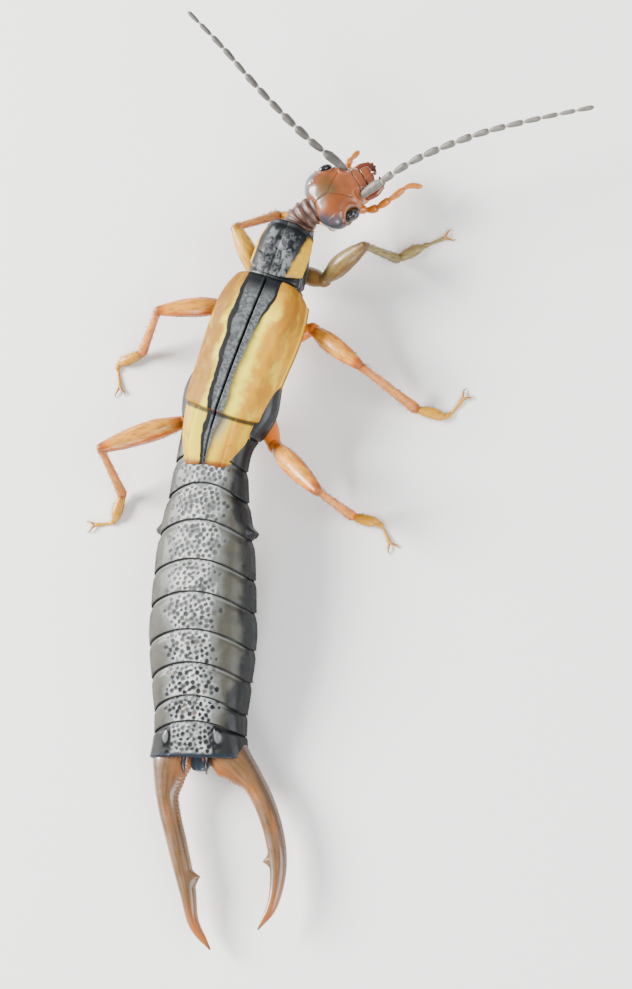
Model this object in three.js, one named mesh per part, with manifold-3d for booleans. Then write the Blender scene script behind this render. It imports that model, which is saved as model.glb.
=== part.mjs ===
// A male shore earwig at life size, standing still on its six feet and the tip of its belly.
// Millimetres and degrees. The body runs along Y with its head end at +Y, and Z is up.
// Headings are turned clockwise from +Y as seen from above.
import * as THREE from "three";
import { mergeVertices } from "three/addons/utils/BufferGeometryUtils.js";
import Module from "manifold-3d";

const wasm = await Module();
wasm.setup();

// Driving sizes that every piece shares.
const GAP = 0.1;
const SHIELD = 0.35;
const FLOOR = 0;
const SOLE = 0.22;

// The middle line of the trunk. A station is the way back from the front of the pronotum.
const LINE = {
  x: -0.47,
  y: 10.98,
  thorax: 22,
  belly: 5.8,
  tail: 3.6,
  waist: 8.2,
  hip: 11.6,
  end: 22,
  high: 2.45,
  low: 1.05,
  sinkFrom: 7.5,
  sinkTo: 24,
  step: 0.1,
  steps: 320,
};

// Stations where one ring of the belly ends and the next begins.
const BELLY_JOINTS = [8.9, 9.9, 11.1, 12.6, 14.2, 15.5, 17.0, 18.3, 19.6, 20.6, 22.05];
const THORAX_JOINTS = { neck: 0.2, pro: 2.5, meso: 5.5, meta: 8.9 };
const WING = { shoulder: 2.45, split: 8.3, end: 10.55, outer: 8.1 };

// Two small spines on the hind edge of the last ring, and a lobe on each side of the third.
const SPINES = { ring: 10, out: 0.45, up: 0.42, sunk: 0.25, long: 0.55, radius: 0.2 };
const LOBES = { ring: 3, root: 1.55, out: 2.12, up: -0.05, past: 0.08, radius: 0.3 };

const HEAD = { x: 0.2, y: 11.5, z: 2.4, heading: 60, pitch: 8, length: 2.45 };
const EYE = { along: 1.3, out: 1.18, up: 0.12, size: [0.2, 0.32, 0.3] };

// One entry for each pair of legs: where the hip sits and how long the pieces are.
const LEGS = {
  front: { hip: [1.7, 0.6, -1.05], coxa: 0.98, femur: 2.73, tibia: 2.5, tarsus: 2.11, thick: 0.44 },
  middle: { hip: [4.4, 0.85, -1.1], coxa: 1.21, femur: 3.06, tibia: 3.01, tarsus: 2.2, thick: 0.42 },
  hind: { hip: [7.7, 1.15, -1.1], coxa: 1.34, femur: 3.85, tibia: 2.95, tarsus: 2.04, thick: 0.46 },
};

// How each leg stands: the headings of its pieces and the height of its knee.
const STANCE = {
  front_left: { coxa: -149, femur: -23.5, knee: 2.35, tibia: 48, foot: [104, 106.5] },
  front_right: { coxa: 114, femur: 68, knee: 2.75, tibia: 87, foot: [66, 73.5] },
  middle_left: { coxa: -40, femur: -93, knee: 2.48, tibia: -124, foot: [-107, 177] },
  middle_right: { coxa: 78, femur: 129, knee: 2.2, tibia: 132, foot: [106, 47] },
  hind_left: { coxa: -125, femur: -109, knee: 2.85, tibia: -173, foot: [-155, -97] },
  hind_right: { coxa: 159, femur: 133, knee: 3.17, tibia: 146, foot: [107.5, 152] },
};
const COXA_RISE = 8;
const THIGH_BOW = 0.12;
const KNEE = 0.28;
const ANKLE = 0.3;
const FIRST_TARSUS = 0.55;

// The middle line of each feeler past its first long piece, in the model's own frame.
const FEELERS = {
  left: [[0.55, 14.1, 3.2], [-0.5, 15.2, 3.5], [-1.7, 16.6, 3.8], [-3.15, 18.4, 4.0], [-4.56, 20.0, 4.2]],
  right: [[3.9, 12.4, 3.15], [5.3, 12.9, 3.45], [7.9, 13.45, 3.8], [10.3, 13.7, 4.0], [12.68, 13.84, 4.2]],
};
const FEELER = { rowsPerBead: 4, thick: 0.27, tip: 0.17, waist: 0.6, start: 0.3 };
const BEADS = { left: 11, right: 13 };
const SOCKET = { along: 2.06, out: 0.66, up: 0.12, sunk: 0.05, scape: 0.62, bow: 0.05 };

// Mouth parts, in the head's frame: so far forward, out to the side and up.
const LIP = { half: 0.4, long: 0.36, round: 0.1, thick: 0.24, droop: 0.08 };
const JAW = { level: -0.36, line: [[2.2, 0.6], [2.6, 0.62], [2.9, 0.46], [3.02, 0.14]] };
const UNDERLIP = { from: 1.75, long: 0.95, half: 0.3, tip: 0.22, under: -0.92, over: -0.7, rise: 0.08 };
const PALP = { thick: 0.25, tip: 0.16, root: [1.7, 0.74, -0.8], cheek: [2.1, 1.02, -0.8] };

// Where each palp goes once it is past the cheek, in the model's own frame.
const PALP_TIPS = {
  left: [[1.45, 13.6, 1.55], [1.8, 14.1, 1.35]],
  right: [[3.42, 11.93, 1.65], [4.05, 12.36, 1.5], [4.5, 12.35, 1.3]],
};
const NECK = { wide: 0.82, narrow: 0.62, high: 0.5, low: 0.44, folds: 4, fold: 0.07 };
const PYGIDIUM = { long: 0.42, wide: 0.38, top: 0.26, bottom: 0.3, drop: 0.12 };
const TOOTH = { at: 0.62, long: 0.62, back: 0.12, radius: 0.24 };
const CLAW = { spread: 28, sunk: 0.12, long: 0.5, tip: 0.05, radius: 0.13 };

// The middle line of each blade of the forceps: station, way across and height.
const BLADES = {
  left: [[22.2, -1.2, 1.15], [23.6, -1.3, 1.05], [25.6, -0.74, 0.95], [27.3, -0.24, 0.85],
    [28.6, 0.1, 0.8], [29.6, 0.88, 0.85]],
  right: [[22.2, 1.68, 1.15], [23.2, 2.6, 1.1], [24.8, 3.36, 1.05], [26.4, 3.68, 1.05],
    [27.8, 3.54, 1.1], [28.75, 3.05, 1.2]],
};

const COLOURS = {
  head: { color: 0xb4622f, roughness: 0.35 },
  eye: { color: 0x2b2c30, roughness: 0.25 },
  mouth: { color: 0x9a4f28, roughness: 0.4 },
  palp: { color: 0xdc8a35, roughness: 0.4 },
  feeler: { color: 0x8d8883, roughness: 0.5 },
  neck: { color: 0x8f6a5c, roughness: 0.55 },
  shield: { color: 0x4c4d4c, roughness: 0.35 },
  thorax: { color: 0x33363a, roughness: 0.4 },
  tegmen: { color: 0xc79a45, roughness: 0.3 },
  wing: { color: 0xd2b24c, roughness: 0.3 },
  belly: { color: 0x5b5d5e, roughness: 0.4 },
  pygidium: { color: 0x2f3842, roughness: 0.35 },
  blade: { color: 0x8a4f24, roughness: 0.25 },
  leg: { color: 0xd88f45, roughness: 0.4 },
};

const rad = THREE.MathUtils.degToRad;
const lerp = THREE.MathUtils.lerp;
const smooth = THREE.MathUtils.smoothstep;
const vec = (x, y, z) => new THREE.Vector3(x, y, z);
const ahead = (heading) => vec(Math.sin(rad(heading)), Math.cos(rad(heading)), 0);

// A smooth curve through a few pairs of place and value.
function profile(...pairs) {
  const last = pairs.length - 1;
  const slope = (i) => {
    const a = pairs[Math.max(0, i - 1)];
    const b = pairs[Math.min(last, i + 1)];
    return (b[1] - a[1]) / (b[0] - a[0]);
  };
  return (s) => {
    if (s <= pairs[0][0]) return pairs[0][1];
    if (s >= pairs[last][0]) return pairs[last][1];
    const i = pairs.findIndex((pair) => pair[0] > s) - 1;
    const run = pairs[i + 1][0] - pairs[i][0];
    const t = (s - pairs[i][0]) / run;
    const bend = t * t * (3 - 2 * t);
    const lead = t * (1 - t) * (1 - t) * slope(i) * run;
    const trail = t * t * (t - 1) * slope(i + 1) * run;
    return lerp(pairs[i][1], pairs[i + 1][1], bend) + lead + trail;
  };
}

// Closed solids: plain three.js shapes whose points are put in their places.
function closed(shape) {
  const bare = shape.clone();
  bare.deleteAttribute("normal");
  bare.deleteAttribute("uv");
  const merged = mergeVertices(bare, 1e-5);
  const point = merged.attributes.position;
  const kept = [];
  const index = merged.index.array;
  let volume = 0;
  const corner = [vec(), vec(), vec()];
  for (let i = 0; i < index.length; i += 3) {
    const trio = [index[i], index[i + 1], index[i + 2]];
    if (new Set(trio).size === 3) {
      kept.push(trio);
      trio.forEach((k, n) => corner[n].fromBufferAttribute(point, k));
      volume += corner[0].dot(corner[1].cross(corner[2]));
    }
  }
  const triangles = kept.flatMap((trio) => (volume < 0 ? [trio[0], trio[2], trio[1]] : trio));
  return new wasm.Manifold(new wasm.Mesh({
    numProp: 3,
    vertProperties: new Float32Array(point.array),
    triVerts: new Uint32Array(triangles),
  }));
}

// A skin through rows of points, closed at both ends. A sphere's rows are moved into place.
function loft(rows, sides, place) {
  const shape = new THREE.SphereGeometry(1, sides, rows + 1);
  const point = shape.attributes.position;
  const uv = shape.attributes.uv;
  const ring = (row) => Array.from({ length: sides }, (_, k) => place(row, (2 * Math.PI * k) / sides));
  const rings = Array.from({ length: rows }, (_, row) => ring(row));
  const centre = (row) => rings[row].reduce((sum, p) => sum.add(p), vec(0, 0, 0)).divideScalar(sides);
  for (let i = 0; i < point.count; i++) {
    const step = Math.round((1 - uv.getY(i)) * (rows + 1));
    const side = Math.round(uv.getX(i) * sides) % sides;
    let at = rings[step - 1]?.[side];
    if (step === 0) at = centre(0);
    if (step === rows + 1) at = centre(rows - 1);
    point.setXYZ(i, at.x, at.y, Math.max(at.z, FLOOR));
  }
  return closed(shape);
}

// A curved plate. place(u, v, w) has u and v over its face, and w is 0 below and 1 above.
function plate(across, along, place) {
  const shape = new THREE.BoxGeometry(1, 1, 1, across, along, 1);
  const point = shape.attributes.position;
  for (let i = 0; i < point.count; i++) {
    const at = place(point.getX(i) + 0.5, point.getY(i) + 0.5, point.getZ(i) + 0.5);
    point.setXYZ(i, at.x, at.y, at.z);
  }
  return closed(shape);
}

// A round limb along a curve. wide and high give its half thickness along it, from 0 to 1.
// Both ends swell out by their own cap, so that joints are rounded.
const CAP = { sizes: [0.42, 0.82], swell: 0.55 };
function limb(curve, rows, sides, wide, high, grow = 0) {
  const count = CAP.sizes.length;
  return loft(rows, sides, (row, turn) => {
    const fromStart = row < count;
    const fromEnd = row >= rows - count;
    const t = THREE.MathUtils.clamp((row - count) / (rows - 2 * count - 1), 0, 1);
    const size = fromStart ? CAP.sizes[row] : fromEnd ? CAP.sizes[rows - 1 - row] : 1;
    const bulge = (Math.min(wide(t), high(t)) * CAP.swell + grow) * Math.sqrt(1 - size * size);
    const swell = fromStart ? -bulge : bulge;
    const way = curve.getTangentAt(t);
    const side = way.clone().cross(vec(0, 0, 1)).normalize();
    const up = side.clone().cross(way).normalize();
    return curve.getPointAt(t)
      .addScaledVector(side, (wide(t) + grow) * size * Math.cos(turn))
      .addScaledVector(up, (high(t) + grow) * size * Math.sin(turn))
      .addScaledVector(way, swell);
  });
}

// A small cone with a sunk root, for spines, teeth and claws.
function thorn(root, tip, radius, sides = 6) {
  const way = tip.clone().sub(root);
  const shape = new THREE.ConeGeometry(radius, way.length(), sides, 1);
  shape.translate(0, way.length() / 2, 0);
  shape.applyQuaternion(new THREE.Quaternion().setFromUnitVectors(vec(0, 1, 0), way.normalize()));
  shape.translate(root.x, root.y, root.z);
  return closed(shape);
}

// The trunk's middle line, walked back from the pronotum.
const walk = [];
function headingAt(s) {
  const waist = lerp(LINE.thorax, LINE.belly, smooth(s, LINE.waist, LINE.hip));
  return waist + (LINE.tail - LINE.belly) * smooth(s, LINE.hip, LINE.end);
}
for (let i = 0, at = vec(LINE.x, LINE.y, 0); i <= LINE.steps; i++) {
  const s = i * LINE.step;
  walk.push(vec(at.x, at.y, lerp(LINE.high, LINE.low, smooth(s, LINE.sinkFrom, LINE.sinkTo))));
  at = at.addScaledVector(ahead(headingAt(s + LINE.step / 2)), -LINE.step);
}

// The point at a station, so far to the animal's right and so far up.
function spot(s, right, up) {
  const i = THREE.MathUtils.clamp(Math.floor(s / LINE.step), 0, LINE.steps - 1);
  const at = walk[i].clone().lerp(walk[i + 1], s / LINE.step - i);
  const heading = headingAt(s);
  return at.addScaledVector(ahead(heading + 90), right).add(vec(0, 0, up));
}

// A squared oval: how far out across and up it is at a turn.
function oval(turn, wide, top, bottom, power) {
  const c = Math.cos(turn);
  const q = Math.sin(turn);
  const round = (value) => Math.sign(value) * Math.abs(value) ** power;
  return [wide * round(c), (q > 0 ? top : bottom) * round(q)];
}

const group = new THREE.Group();
const solids = {};

// Adds a finished solid to the model, keeping its largest closed surface.
function add(name, colour, solid) {
  const pieces = solid.decompose().sort((a, b) => b.volume() - a.volume());
  const mesh = pieces[0].getMesh();
  const shape = new THREE.BufferGeometry();
  shape.setAttribute("position", new THREE.BufferAttribute(new Float32Array(mesh.vertProperties), 3));
  shape.setIndex(new THREE.BufferAttribute(new Uint32Array(mesh.triVerts), 1));
  shape.computeVertexNormals();
  const part = new THREE.Mesh(shape, new THREE.MeshStandardMaterial({ ...COLOURS[colour], metalness: 0 }));
  part.name = name;
  group.add(part);
  solids[name] = pieces[0];
}

// The trunk's half width, height above and depth below its middle line.
const TRUNK = {
  wide: profile([0, 0.78], [1.2, 1.0], [2.5, 1.25], [4.2, 1.6], [6.3, 1.85], [7.6, 2.1], [8.5, 1.92],
    [9.3, 1.56], [11.2, 1.62], [12.8, 1.9], [14.15, 2.08], [16.15, 2.2], [17.3, 2.25], [18.9, 2.1],
    [20.5, 1.93], [21.4, 1.98], [22.05, 2.12]),
  top: profile([0, 0.4], [1.5, 0.42], [3, 0.7], [8.5, 0.7], [10.6, 0.74], [12.8, 1.02], [16, 1.25],
    [18.9, 1.15], [20.5, 1.0], [22.05, 0.78]),
  bottom: profile([0, 0.6], [2, 0.85], [5, 0.95], [8.5, 1.0], [12.8, 1.2], [16, 1.38], [18.9, 1.47],
    [20.5, 1.34], [22.05, 0.95]),
  power: 0.8,
  sides: 22,
};

// One ring of the trunk. It is a little slimmer in front, where it tucks into the ring before.
function trunkRing(from, to, tuck, grow = 0) {
  const steps = [0, 0.08, 0.3, 0.55, 0.8, 0.95, 1];
  const slim = [tuck, tuck * 0.5, 0.015, 0, 0, 0.005, 0.03];
  const start = from + GAP / 2 - grow;
  const finish = to - GAP / 2 + grow;
  return loft(steps.length, TRUNK.sides, (row, turn) => {
    const s = lerp(start, finish, steps[row]);
    const scale = 1 - slim[row];
    const [right, up] = oval(turn, TRUNK.wide(s) * scale + grow, TRUNK.top(s) * scale + grow,
      TRUNK.bottom(s) * scale + grow, TRUNK.power);
    return spot(s, right, up);
  });
}

// The arch of the wing cases and of the wing tips that show behind them.
const ARCH = {
  wide: profile([2.4, 1.5], [3.3, 1.84], [4.6, 1.98], [6, 1.92], [8.3, 1.76], [9.5, 1.5], [10.6, 1.1]),
  top: profile([2.4, 0.84], [3.5, 0.98], [5.5, 1.08], [8.3, 1.04], [10.6, 0.88]),
  edge: -0.15,
  power: 0.58,
};

// A point of the arch. A turn of 0 is its right edge, a quarter turn its ridge.
function archPoint(s, turn, sink) {
  const [right, up] = oval(turn, ARCH.wide(s) - sink, ARCH.top(s) - sink - ARCH.edge, 0, ARCH.power);
  return { right, up: up + ARCH.edge };
}

// The room that the arch needs above the trunk, with a gap below it.
function archRoom(from, to) {
  return plate(14, 6, (u, v, w) => {
    const s = lerp(from, to, v);
    const turn = Math.PI * (1 - u);
    const at = archPoint(s, turn, w > 0.5 ? -0.8 : SHIELD + 1.5 * GAP);
    return spot(s, at.right, at.up - (w > 0.5 ? 0 : GAP));
  });
}

// A wing case or wing tip: half of the arch, from the middle seam out to its side edge.
function archHalf(side, front, rear, sink) {
  return plate(8, 8, (u, v, w) => {
    const s = lerp(front(u), rear(u), v);
    const turn = (Math.PI / 2) * (1 - u);
    const at = archPoint(s, turn, w > 0.5 ? sink : SHIELD);
    const right = lerp(GAP / 2, at.right, u === 0 ? 0 : 1);
    return spot(s, side * Math.max(right, GAP / 2), at.up);
  });
}

const SIDES = { left: -1, right: 1 };

for (const [name, side] of Object.entries(SIDES)) {
  const shoulder = (u) => WING.shoulder + 0.6 * u ** 3;
  const split = (u) => lerp(WING.split, WING.outer, u * u);
  const tipEnd = (u) => WING.end - 0.75 * u ** 3 - 0.12 * (1 - u) ** 4;
  add(`tegmen_${name}`, "tegmen", archHalf(side, shoulder, split, 0));
  add(`wing_${name}`, "wing", archHalf(side, (u) => split(u) + GAP, tipEnd, 0.06));
}
const wingRoom = archRoom(WING.shoulder - GAP, WING.end + GAP);

// The pronotum: a shield with rounded corners over the first ring of the thorax.
const SHIELD_TOP = {
  wide: 1.27,
  top: 0.86,
  edge: 0.22,
  thick: 0.32,
  front: 0.02,
  rear: 2.32,
  frontCorner: 0.35,
  rearCorner: 0.3,
  narrow: 0.84,
  dip: 0.1,
};
function pronotumPoint(u, v, sink) {
  const across = 2 * u - 1;
  const round = Math.min(1, Math.abs(across)) ** 3;
  const front = SHIELD_TOP.front + SHIELD_TOP.frontCorner * round;
  const s = lerp(front, SHIELD_TOP.rear - SHIELD_TOP.rearCorner * round, v);
  const wide = SHIELD_TOP.wide * lerp(SHIELD_TOP.narrow, 1, smooth(s, 0, 1.1));
  const dip = SHIELD_TOP.dip * (1 - smooth(s, 0, 0.8));
  const up = lerp(SHIELD_TOP.edge, SHIELD_TOP.top, 1 - across ** 4) - dip;
  return spot(s, across * wide, up - sink);
}
const pronotum = plate(10, 7, (u, v, w) => pronotumPoint(u, v, w > 0.5 ? 0 : SHIELD_TOP.thick));
const pronotumRoom = plate(8, 4, (u, v, w) => {
  const sink = w > 0.5 ? -1 : SHIELD_TOP.thick + 1.6 * GAP;
  return pronotumPoint(lerp(-0.08, 1.08, u), lerp(-0.1, 1.1, v), sink);
});
add("pronotum", "shield", pronotum);

const pro = trunkRing(THORAX_JOINTS.neck, THORAX_JOINTS.pro, 0.1);
const meso = trunkRing(THORAX_JOINTS.pro, THORAX_JOINTS.meso, 0.05);
const meta = trunkRing(THORAX_JOINTS.meso, THORAX_JOINTS.meta, 0.05);
add("prothorax", "thorax", pro.subtract(pronotumRoom).subtract(wingRoom));
add("mesothorax", "thorax", meso.subtract(wingRoom).subtract(pronotumRoom));
add("metathorax", "thorax", meta.subtract(wingRoom));

for (let i = 1; i < BELLY_JOINTS.length; i++) {
  let ring = trunkRing(BELLY_JOINTS[i - 1], BELLY_JOINTS[i], 0.06);
  if (i <= 2) ring = ring.subtract(wingRoom);
  for (const side of i === SPINES.ring ? [-1, 1] : []) {
    const root = spot(BELLY_JOINTS[i] - SPINES.sunk, side * SPINES.out, SPINES.up);
    const tip = spot(BELLY_JOINTS[i] + SPINES.long, side * SPINES.out * 1.1, SPINES.up);
    ring = ring.add(thorn(root, tip, SPINES.radius));
  }
  for (const side of i === LOBES.ring ? [-1, 1] : []) {
    const root = spot(BELLY_JOINTS[i - 1] + LOBES.radius, side * LOBES.root, LOBES.up);
    const tip = spot(BELLY_JOINTS[i] + LOBES.past, side * LOBES.out, LOBES.up);
    ring = ring.add(thorn(root, tip, LOBES.radius, 8));
  }
  add(`abdomen_${i}`, "belly", ring);
}

// The head, in its own frame: so far forward from its back, to its right and up.
const faceAhead = ahead(HEAD.heading).multiplyScalar(Math.cos(rad(HEAD.pitch)))
  .add(vec(0, 0, -Math.sin(rad(HEAD.pitch))));
const faceRight = ahead(HEAD.heading + 90);
const faceUp = faceRight.clone().cross(faceAhead);
function face(forward, right, up) {
  return vec(HEAD.x, HEAD.y, HEAD.z)
    .addScaledVector(faceAhead, forward)
    .addScaledVector(faceRight, right)
    .addScaledVector(faceUp, up);
}
const SKULL = {
  wide: profile([0, 0.5], [0.12, 0.86], [0.4, 1.2], [0.8, 1.32], [1.3, 1.24], [1.75, 1.02], [2.1, 0.76],
    [2.45, 0.52]),
  top: profile([0, 0.32], [0.4, 0.56], [1, 0.68], [1.6, 0.6], [2.1, 0.42], [2.45, 0.28]),
  bottom: profile([0, 0.3], [0.4, 0.5], [1, 0.56], [1.8, 0.48], [2.45, 0.26]),
  power: 0.9,
  rows: 12,
  sides: 22,
};
const skull = loft(SKULL.rows, SKULL.sides, (row, turn) => {
  const s = (HEAD.length * (1 - Math.cos((Math.PI * row) / (SKULL.rows - 1)))) / 2;
  const [right, up] = oval(turn, SKULL.wide(s), SKULL.top(s), SKULL.bottom(s), SKULL.power);
  return face(s, right, up);
});

// An egg shape in the head's frame, for the eyes and the room around them.
function egg(forward, right, up, size, grow = 0) {
  const rows = 6;
  return loft(rows, 12, (row, turn) => {
    const lift = (Math.PI * (row + 0.35)) / (rows - 0.3);
    const out = Math.sin(lift);
    const away = right - (size[0] + grow) * Math.cos(lift);
    const along = forward + (size[1] + grow) * out * Math.cos(turn);
    return face(along, away, up + (size[2] + grow) * out * Math.sin(turn));
  });
}
let head = skull;
for (const [name, side] of Object.entries(SIDES)) {
  head = head.subtract(egg(EYE.along, side * EYE.out, EYE.up, EYE.size, GAP * 0.8));
  add(`eye_${name}`, "eye", egg(EYE.along, side * EYE.out, EYE.up, EYE.size));
}

// Feelers: one long first piece, then a chain of beads joined by narrow necks.
for (const [name, side] of Object.entries(SIDES)) {
  const socket = face(SOCKET.along, side * SOCKET.out, SOCKET.up);
  const joint = socket.clone().lerp(vec(...FEELERS[name][0]), SOCKET.scape);
  const scape = new THREE.CatmullRomCurve3([
    socket.clone().addScaledVector(faceAhead, -SOCKET.sunk),
    socket.clone().lerp(joint, 0.5).add(vec(0, 0, SOCKET.bow)),
    joint,
  ]);
  const club = profile([0, 0.2], [0.25, 0.26], [0.8, 0.27], [1, 0.2]);
  head = head.subtract(limb(scape, 6, 8, club, club, GAP));
  add(`antenna_${name}_scape`, "feeler", limb(scape, 7, 8, club, club));
  const onward = vec(...FEELERS[name][0]).sub(joint).normalize();
  const start = joint.clone().addScaledVector(onward, FEELER.start);
  const chain = new THREE.CatmullRomCurve3([start, ...FEELERS[name].map((p) => vec(...p))]);
  const rows = BEADS[name] * FEELER.rowsPerBead + 5;
  const bead = (t) => {
    const phase = Math.sin(Math.PI * ((t * BEADS[name]) % 1));
    return lerp(FEELER.thick, FEELER.tip, t) * lerp(FEELER.waist, 1, Math.min(1, 1.6 * phase));
  };
  add(`antenna_${name}_flagellum`, "feeler", limb(chain, rows, 6, bead, bead));
}

// Mouth parts: upper lip, jaws, palps and lower lip.
const labrum = plate(4, 3, (u, v, w) => {
  const across = 2 * u - 1;
  const reach = LIP.long - LIP.round * across * across;
  const up = w * LIP.thick - LIP.droop * (v + 0.6 * across * across);
  return face(HEAD.length + GAP + v * reach, across * LIP.half, up);
});
add("labrum", "mouth", labrum);
for (const [name, side] of Object.entries(SIDES)) {
  const jaw = new THREE.CatmullRomCurve3(JAW.line.map(([s, out]) => face(s, side * out, JAW.level)));
  const wide = profile([0, 0.2], [0.4, 0.22], [0.8, 0.14], [1, 0.04]);
  const high = profile([0, 0.14], [0.5, 0.13], [1, 0.05]);
  head = head.subtract(limb(jaw, 8, 8, wide, high, GAP));
  add(`mandible_${name}`, "mouth", limb(jaw, 9, 8, wide, high));
}
for (const [name, side] of Object.entries(SIDES)) {
  const underCheek = [PALP.root, PALP.cheek].map(([s, out, up]) => face(s, side * out, up));
  const palp = new THREE.CatmullRomCurve3([...underCheek, ...PALP_TIPS[name].map((p) => vec(...p))]);
  const thick = (t) => lerp(PALP.thick, PALP.tip, t) * (0.8 + 0.2 * Math.abs(Math.sin(4 * Math.PI * t)));
  head = head.subtract(limb(palp, 9, 6, thick, thick, GAP));
  add(`palp_${name}`, "palp", limb(palp, 18, 7, thick, thick));
}
const labium = plate(4, 4, (u, v, w) => {
  const across = 2 * u - 1;
  const half = lerp(UNDERLIP.half, UNDERLIP.tip, v);
  const up = lerp(UNDERLIP.under, UNDERLIP.over, w) + UNDERLIP.rise * v;
  return face(UNDERLIP.from + v * UNDERLIP.long, across * half, up);
});
add("labium", "mouth", labium);

// The neck: a soft tube with folds, from the thorax round to the back of the head.
const neckLine = new THREE.CatmullRomCurve3([
  spot(THORAX_JOINTS.neck, 0.05, -0.12), spot(-0.25, 0.1, -0.1), face(-0.22, 0, -0.02), face(0.1, 0, 0),
]);
const fold = (t) => 1 - NECK.fold * (1 - Math.cos(2 * Math.PI * NECK.folds * t));
const neckWide = (t) => lerp(NECK.wide, NECK.narrow, t) * fold(t);
const neckHigh = (t) => lerp(NECK.high, NECK.low, t) * fold(t);
const neck = limb(neckLine, 15, 12, neckWide, neckHigh);
const neckEnd = trunkRing(THORAX_JOINTS.neck, THORAX_JOINTS.pro, 0.1, GAP);
add("neck", "neck", neck.subtract(neckEnd).subtract(pronotumRoom));
add("head", "head", head.subtract(limb(neckLine, 8, 12, neckWide, neckHigh, GAP)));

// The last small plate between the roots of the forceps.
const pygidium = loft(5, 12, (row, turn) => {
  const t = row / 4;
  const size = 1 - 0.5 * t * t;
  const { wide, top, bottom } = PYGIDIUM;
  const [right, up] = oval(turn, wide * size, top * size, bottom * size, TRUNK.power);
  return spot(BELLY_JOINTS[10] + GAP / 2 + PYGIDIUM.long * t, right, up - PYGIDIUM.drop);
});
add("pygidium", "pygidium", pygidium);

// Forceps: two blades with broad roots, a small tooth inside and tips that turn in.
const bladeWide = profile([0, 0.86], [0.1, 0.6], [0.2, 0.45], [0.45, 0.42], [0.62, 0.38], [0.8, 0.27],
  [0.92, 0.19], [1, 0.05]);
const bladeHigh = profile([0, 0.52], [0.2, 0.42], [0.6, 0.33], [0.85, 0.22], [1, 0.05]);
const keepOut = trunkRing(BELLY_JOINTS[9], BELLY_JOINTS[10], 0.06, GAP);
for (const [name, side] of Object.entries(SIDES)) {
  const line = new THREE.CatmullRomCurve3(BLADES[name].map(([s, right, z]) => {
    const at = spot(s, right, 0);
    return vec(at.x, at.y, z);
  }));
  const at = line.getPointAt(TOOTH.at);
  const inward = line.getTangentAt(TOOTH.at).cross(vec(0, 0, side)).normalize();
  const point = at.clone().addScaledVector(inward, TOOTH.long).add(vec(0, -TOOTH.back, 0));
  const blade = limb(line, 18, 12, bladeWide, bladeHigh).add(thorn(at, point, TOOTH.radius));
  add(`forceps_${name}`, "blade", blade.subtract(keepOut));
}

// Legs. Each piece starts inside the one before and is cut clear of it by the gap.
const thoraxRoom = trunkRing(THORAX_JOINTS.neck, THORAX_JOINTS.pro, 0, GAP)
  .add(trunkRing(THORAX_JOINTS.pro, THORAX_JOINTS.meso, 0, GAP))
  .add(trunkRing(THORAX_JOINTS.meso, THORAX_JOINTS.meta, 0, GAP));
const stem = (thick) => profile([0, thick * 0.9], [0.6, thick * 0.92], [1, thick * 0.72]);
const thigh = (thick) => {
  const swollen = [[0, thick * 0.66], [0.3, thick], [0.7, thick * 0.78]];
  return profile(...swollen, [0.92, KNEE * 0.96], [1, KNEE]);
};
for (const [name, stance] of Object.entries(STANCE)) {
  const [pairName, sideName] = name.split("_");
  const pair = LEGS[pairName];
  const side = SIDES[sideName];
  const [station, out, up] = pair.hip;
  const hip = spot(station, side * out, up);
  const reach = (from, heading, length, height) => {
    const flat = Math.sqrt(Math.max(0.01, length ** 2 - (height - from.z) ** 2));
    const to = from.clone().addScaledVector(ahead(heading), flat);
    to.z = height;
    return to;
  };
  const root = reach(hip, stance.coxa, pair.coxa, hip.z + pair.coxa * Math.sin(rad(COXA_RISE)));
  const knee = reach(root, stance.femur, pair.femur, stance.knee);
  const ankle = reach(knee, stance.tibia, pair.tibia, ANKLE);
  const bend = reach(ankle, stance.foot[0], pair.tarsus * FIRST_TARSUS, SOLE);
  const toe = reach(bend, stance.foot[1], pair.tarsus * (1 - FIRST_TARSUS), SOLE);

  const coxaLine = new THREE.LineCurve3(hip, root);
  const coxaThick = stem(pair.thick);
  const coxa = limb(coxaLine, 7, 9, coxaThick, coxaThick);
  add(`leg_${name}_coxa`, "leg", coxa.subtract(thoraxRoom));

  const rise = vec(0, 0, THIGH_BOW);
  const femurLine = new THREE.CatmullRomCurve3([root, root.clone().lerp(knee, 0.5).add(rise), knee]);
  const femurWide = thigh(pair.thick);
  const femurHigh = (t) => femurWide(t) * 0.9;
  const femur = limb(femurLine, 10, 9, femurWide, femurHigh)
    .subtract(limb(coxaLine, 7, 9, coxaThick, coxaThick, GAP))
    .subtract(thoraxRoom);
  add(`leg_${name}_femur`, "leg", femur);

  const tibiaLine = new THREE.LineCurve3(knee, ankle);
  const tibiaThick = profile([0, 0.24], [0.35, 0.22], [0.75, 0.25], [0.95, 0.27], [1, 0.25]);
  const tibia = limb(tibiaLine, 8, 8, tibiaThick, tibiaThick)
    .subtract(limb(femurLine, 10, 9, femurWide, femurHigh, GAP));
  add(`leg_${name}_tibia`, "leg", tibia);

  const footLine = new THREE.CatmullRomCurve3([ankle, ankle.clone().lerp(bend, 0.55), bend, toe]);
  const footThick = (t) => lerp(0.25, 0.22, t) * (0.84 + 0.16 * Math.abs(Math.cos(3 * Math.PI * t)) ** 0.5);
  let tarsus = limb(footLine, 13, 8, footThick, footThick);
  const way = toe.clone().sub(bend).normalize();
  for (const spread of [-1, 1]) {
    const splay = way.clone().applyAxisAngle(vec(0, 0, 1), rad(CLAW.spread * spread));
    const from = toe.clone().addScaledVector(way, -CLAW.sunk);
    const tip = toe.clone().addScaledVector(splay, CLAW.long);
    tip.z = CLAW.tip;
    tarsus = tarsus.add(thorn(from, tip, CLAW.radius));
  }
  add(`leg_${name}_tarsus`, "leg", tarsus.subtract(limb(tibiaLine, 8, 8, tibiaThick, tibiaThick, GAP)));
}

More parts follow.
